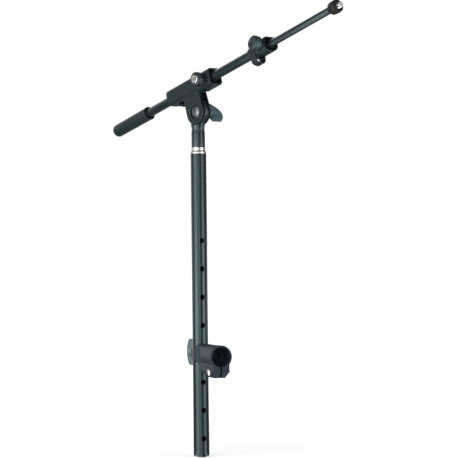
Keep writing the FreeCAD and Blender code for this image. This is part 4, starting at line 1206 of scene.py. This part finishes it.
class BOOMARM_OT_tip(bpy.types.Operator):
    """Knurled stop nut on the threaded stud"""

    bl_idname = "boomarm.tip"
    bl_label = "Tip"

    def execute(self, context):
        details = in_millimetres(context.scene.boomarm_details)
        node = "stop_nut"
        low, high = spread(node, BOOM_LINE)
        radius = high.z
        hole = bore(node, BOOM_LINE)
        collar = details.nut_collar
        corners = [
            (low.x, hole),
            (low.x, radius - 2.6, 1.2),
            (low.x + collar * 0.5, radius - 0.6, 1.6),
            (low.x + collar + 1.4, radius - 0.05, 1.0),
            (low.x + collar + 1.9, radius),
            (high.x - 1.4, radius),
            (high.x - 0.9, radius - 0.15, 0.3),
            (high.x, radius - 1.1, 0.3),
            (high.x, hole + 0.8, 0.2),
            (high.x - 0.8, hole),
        ]
        nut = fluted(
            lathe(corners, details.nut_flutes * 8, True),
            details.nut_flutes,
            details.nut_flute_depth,
            low.x + collar + 0.7,
            high.x + 2.0,
            sharp=1.2,
            least=radius - 1.6,
        )
        stand_in(node, [placed(nut, BOOM_LINE)])
        node = "boom_tip_stud"
        low, high = spread(node, BOOM_LINE)
        radius = details.stud_size / 2
        tube = spread("boom_tube_inner", BOOM_LINE)[1].x
        inside = bore("boom_tube_inner", BOOM_LINE) - details.fit
        depth = details.thread_depth
        core = lathe(
            [
                (low.x, 0),
                (low.x, inside, 0.3),
                (tube, inside),
                (tube, radius - depth),
                (high.x - depth, radius - depth),
                (high.x, radius - 2 * depth),
                (high.x, 0),
            ],
            64,
        )
        crest = helix(radius, depth, details.thread_pitch, tube + 0.4, high.x - 0.3)
        stand_in(node, [placed(core, BOOM_LINE), placed(crest, BOOM_LINE)])
        return {"FINISHED"}


class BOOMARM_OT_stage(bpy.types.Operator):
    """Pale floor, softboxes and the camera"""

    bl_idname = "boomarm.stage"
    bl_label = "Stage"

    def execute(self, context):
        stage = context.scene.boomarm_stage
        scene = context.scene
        side = Vector((math.cos(stage.azimuth), math.sin(stage.azimuth), 0.0))
        towards = Vector((math.sin(stage.azimuth), -math.cos(stage.azimuth), 0.0))
        foot = MAST.to_translation()
        target = foot + side * stage.aim_aside + Vector((0, 0, stage.aim_height))
        lens = bpy.data.cameras.new("camera")
        lens.lens = stage.lens
        lens.sensor_width = 36.0
        lens.clip_end = 100.0
        eye = bpy.data.objects.new("camera", lens)
        turn = (-towards).to_track_quat("-Z", "Y").to_matrix().to_4x4()
        seat = Matrix.Translation(target + towards * stage.distance)
        eye.matrix_world = seat @ turn @ Matrix.Rotation(-stage.lean, 4, "Z")
        scene.collection.objects.link(eye)
        scene.camera = eye
        self.room(scene, Matrix.Rotation(stage.backdrop_turn, 3, "Z") @ -towards, stage)
        middle = foot + Vector((0, 0, stage.lamp_middle))
        near = stage.lamp_distance
        tall = stage.lamp_height
        deep = stage.front_distance
        # Softboxes listed for the floor's painted reflection of them.
        glossy_glow = []
        for name, turn, distance, wide, high, power in (
            ("key", -stage.key_turn, near, stage.key_width, tall, stage.key_power),
            ("side", stage.side_turn, near, stage.side_width, tall, stage.side_power),
            ("front", -stage.front_turn, deep, stage.front_width, tall * deep / near, stage.front_power),
        ):
            way = Matrix.Rotation(turn, 3, "Z") @ towards
            self.softbox(name, middle, way, distance, (wide, high), power)
            glossy_glow.append((way, math.atan(wide / 2 / distance), power / (math.pi * wide * high)))
        self.floor(foot, CAD_BOX[0][2], -towards, glossy_glow, stage)
        way = -towards * math.cos(stage.top_rise) + Vector((0, 0, math.sin(stage.top_rise)))
        self.softbox("top", middle, way, near, (stage.top_width, stage.top_width), stage.top_power)
        scene.view_settings.view_transform = "Standard"
        return {"FINISHED"}

    def softbox(self, name, middle, way, distance, size, power):
        """A rectangular lamp that shines at the stand from a direction."""
        lamp = bpy.data.lights.new(name, "AREA")
        lamp.shape = "RECTANGLE"
        lamp.size, lamp.size_y = size
        lamp.energy = power
        made = bpy.data.objects.new(name, lamp)
        made.matrix_world = Matrix.Translation(middle + way * distance) @ (
            way.to_track_quat("Z", "Y").to_matrix().to_4x4()
        )
        bpy.context.scene.collection.objects.link(made)

    def floor(self, foot, height, behind, lamps, stage):
        """A pale floor that takes shadows near the mast, and that glows to glossy rays with a painted reflection
        of the lamps.
        """
        ground = bmesh.new()
        bmesh.ops.create_grid(ground, x_segments=1, y_segments=1, size=30.0)
        bmesh.ops.translate(ground, vec=(foot.x, foot.y, height), verts=ground.verts)
        made = loose_object("floor", [ground])
        recipe = Recipe("pale_floor", (0.8, 0.8, 0.8), 0.8, specular=0.1)
        here = (foot.x, foot.y, height)
        far = recipe.vector_sum("DISTANCE", recipe.place, here)["Value"]
        strength = recipe.ranged(far, stage.floor_near, 1.0, 0.15, stage.floor_reach)
        path = recipe.add("ShaderNodeLightPath").outputs
        seen = recipe.combined("MAXIMUM", path["Is Camera Ray"], path["Is Transmission Ray"])
        glow = recipe.add("ShaderNodeEmission")
        recipe.join(recipe.combined("MULTIPLY", strength, seen), glow.inputs["Strength"])
        lit = recipe.add("ShaderNodeAddShader")
        recipe.join(recipe.shader.outputs["BSDF"], lit.inputs[0])
        recipe.join(glow.outputs["Emission"], lit.inputs[1])
        # Glossy rays see a painted glow on the floor: dim towards the front, full towards the back, and as bright
        # as a softbox where one stands, a painted reflection of the lamps.
        level = recipe.ranged(recipe.towards(recipe.place, behind), stage.dim, 1.0, 0.2, 2.0)
        aim = recipe.add("ShaderNodeVectorMath", operation="NORMALIZE")
        recipe.join(recipe.vector_sum("SUBTRACT", recipe.place, here)["Vector"], aim.inputs[0])
        for way, half, radiance in lamps:
            facing = recipe.towards(aim.outputs["Vector"], way)
            patch = recipe.ranged(facing, 0.0, radiance, math.cos(half + 0.05), math.cos(half))
            level = recipe.combined("MAXIMUM", level, patch)
        glossy_glow = recipe.add("ShaderNodeEmission")
        recipe.join(level, glossy_glow.inputs["Strength"])
        total = recipe.add("ShaderNodeMixShader")
        recipe.join(path["Is Glossy Ray"], total.inputs["Fac"])
        recipe.join(lit.outputs["Shader"], total.inputs[1])
        recipe.join(glossy_glow.outputs["Emission"], total.inputs[2])
        recipe.bump(recipe.noise(60.0), 0.05)
        recipe.join(total.outputs["Shader"], recipe.nodes["Material Output"].inputs["Surface"])
        made.data.materials.append(recipe.material)

    def room(self, scene, behind, stage):
        """White where the camera looks or metal mirrors the backdrop, and dim light elsewhere."""
        room = bpy.data.worlds.new("room")
        room.use_nodes = True
        graph = Graph(room.node_tree)
        back = graph.nodes["Background"]
        back.inputs["Color"].default_value = (1.0, 1.0, 1.0, 1.0)
        facing = graph.towards(graph.add("ShaderNodeTexCoord").outputs["Generated"], behind)
        rim = math.cos(stage.backdrop_half + stage.backdrop_fade)
        glossy_glow = graph.ranged(facing, stage.dim, 1.0, rim, math.cos(stage.backdrop_half))
        path = graph.add("ShaderNodeLightPath").outputs
        shiny = graph.combined("MAXIMUM", path["Is Glossy Ray"], path["Is Transmission Ray"])
        level = graph.add("ShaderNodeMix")
        level.inputs["A"].default_value = stage.fill
        graph.join(shiny, level.inputs["Factor"])
        graph.join(glossy_glow, level.inputs["B"])
        total = graph.combined("MAXIMUM", level.outputs["Result"], path["Is Camera Ray"])
        graph.join(total, back.inputs["Strength"])
        scene.world = room


# ---------------------------------------------------------------- panel and run

STEPS = (
    BOOMARM_OT_parts,
    BOOMARM_OT_castings,
    BOOMARM_OT_wing_nuts,
    BOOMARM_OT_tubes,
    BOOMARM_OT_knobs,
    BOOMARM_OT_fasteners,
    BOOMARM_OT_turnings,
    BOOMARM_OT_grip,
    BOOMARM_OT_tip,
    BOOMARM_OT_stage,
)


class BOOMARM_PT_panel(bpy.types.Panel):
    """Steps and settings of the boom arm"""

    bl_idname = "BOOMARM_PT_panel"
    bl_label = "Boom arm"
    bl_space_type = "VIEW_3D"
    bl_region_type = "UI"
    bl_category = "Boom arm"

    def draw(self, context):
        for step in STEPS:
            self.layout.operator(step.bl_idname)
        for group in (
            context.scene.boomarm_look,
            context.scene.boomarm_details,
            context.scene.boomarm_stage,
        ):
            box = self.layout.box()
            for name in group.__annotations__:
                box.prop(group, name)


GROUPS = {
    "boomarm_look": BoomArmLook,
    "boomarm_details": BoomArmDetails,
    "boomarm_stage": BoomArmStage,
}


def register():
    for name, group in GROUPS.items():
        bpy.utils.register_class(group)
        setattr(bpy.types.Scene, name, PointerProperty(type=group))
    for step in STEPS:
        bpy.utils.register_class(step)
    bpy.utils.register_class(BOOMARM_PT_panel)


def unregister():
    bpy.utils.unregister_class(BOOMARM_PT_panel)
    for step in reversed(STEPS):
        bpy.utils.unregister_class(step)
    for name, group in reversed(GROUPS.items()):
        delattr(bpy.types.Scene, name)
        bpy.utils.unregister_class(group)


def main():
    register()
    for step in STEPS:
        family, name = step.bl_idname.split(".")
        getattr(getattr(bpy.ops, family), name)()


if __name__ == "__main__":
    main()
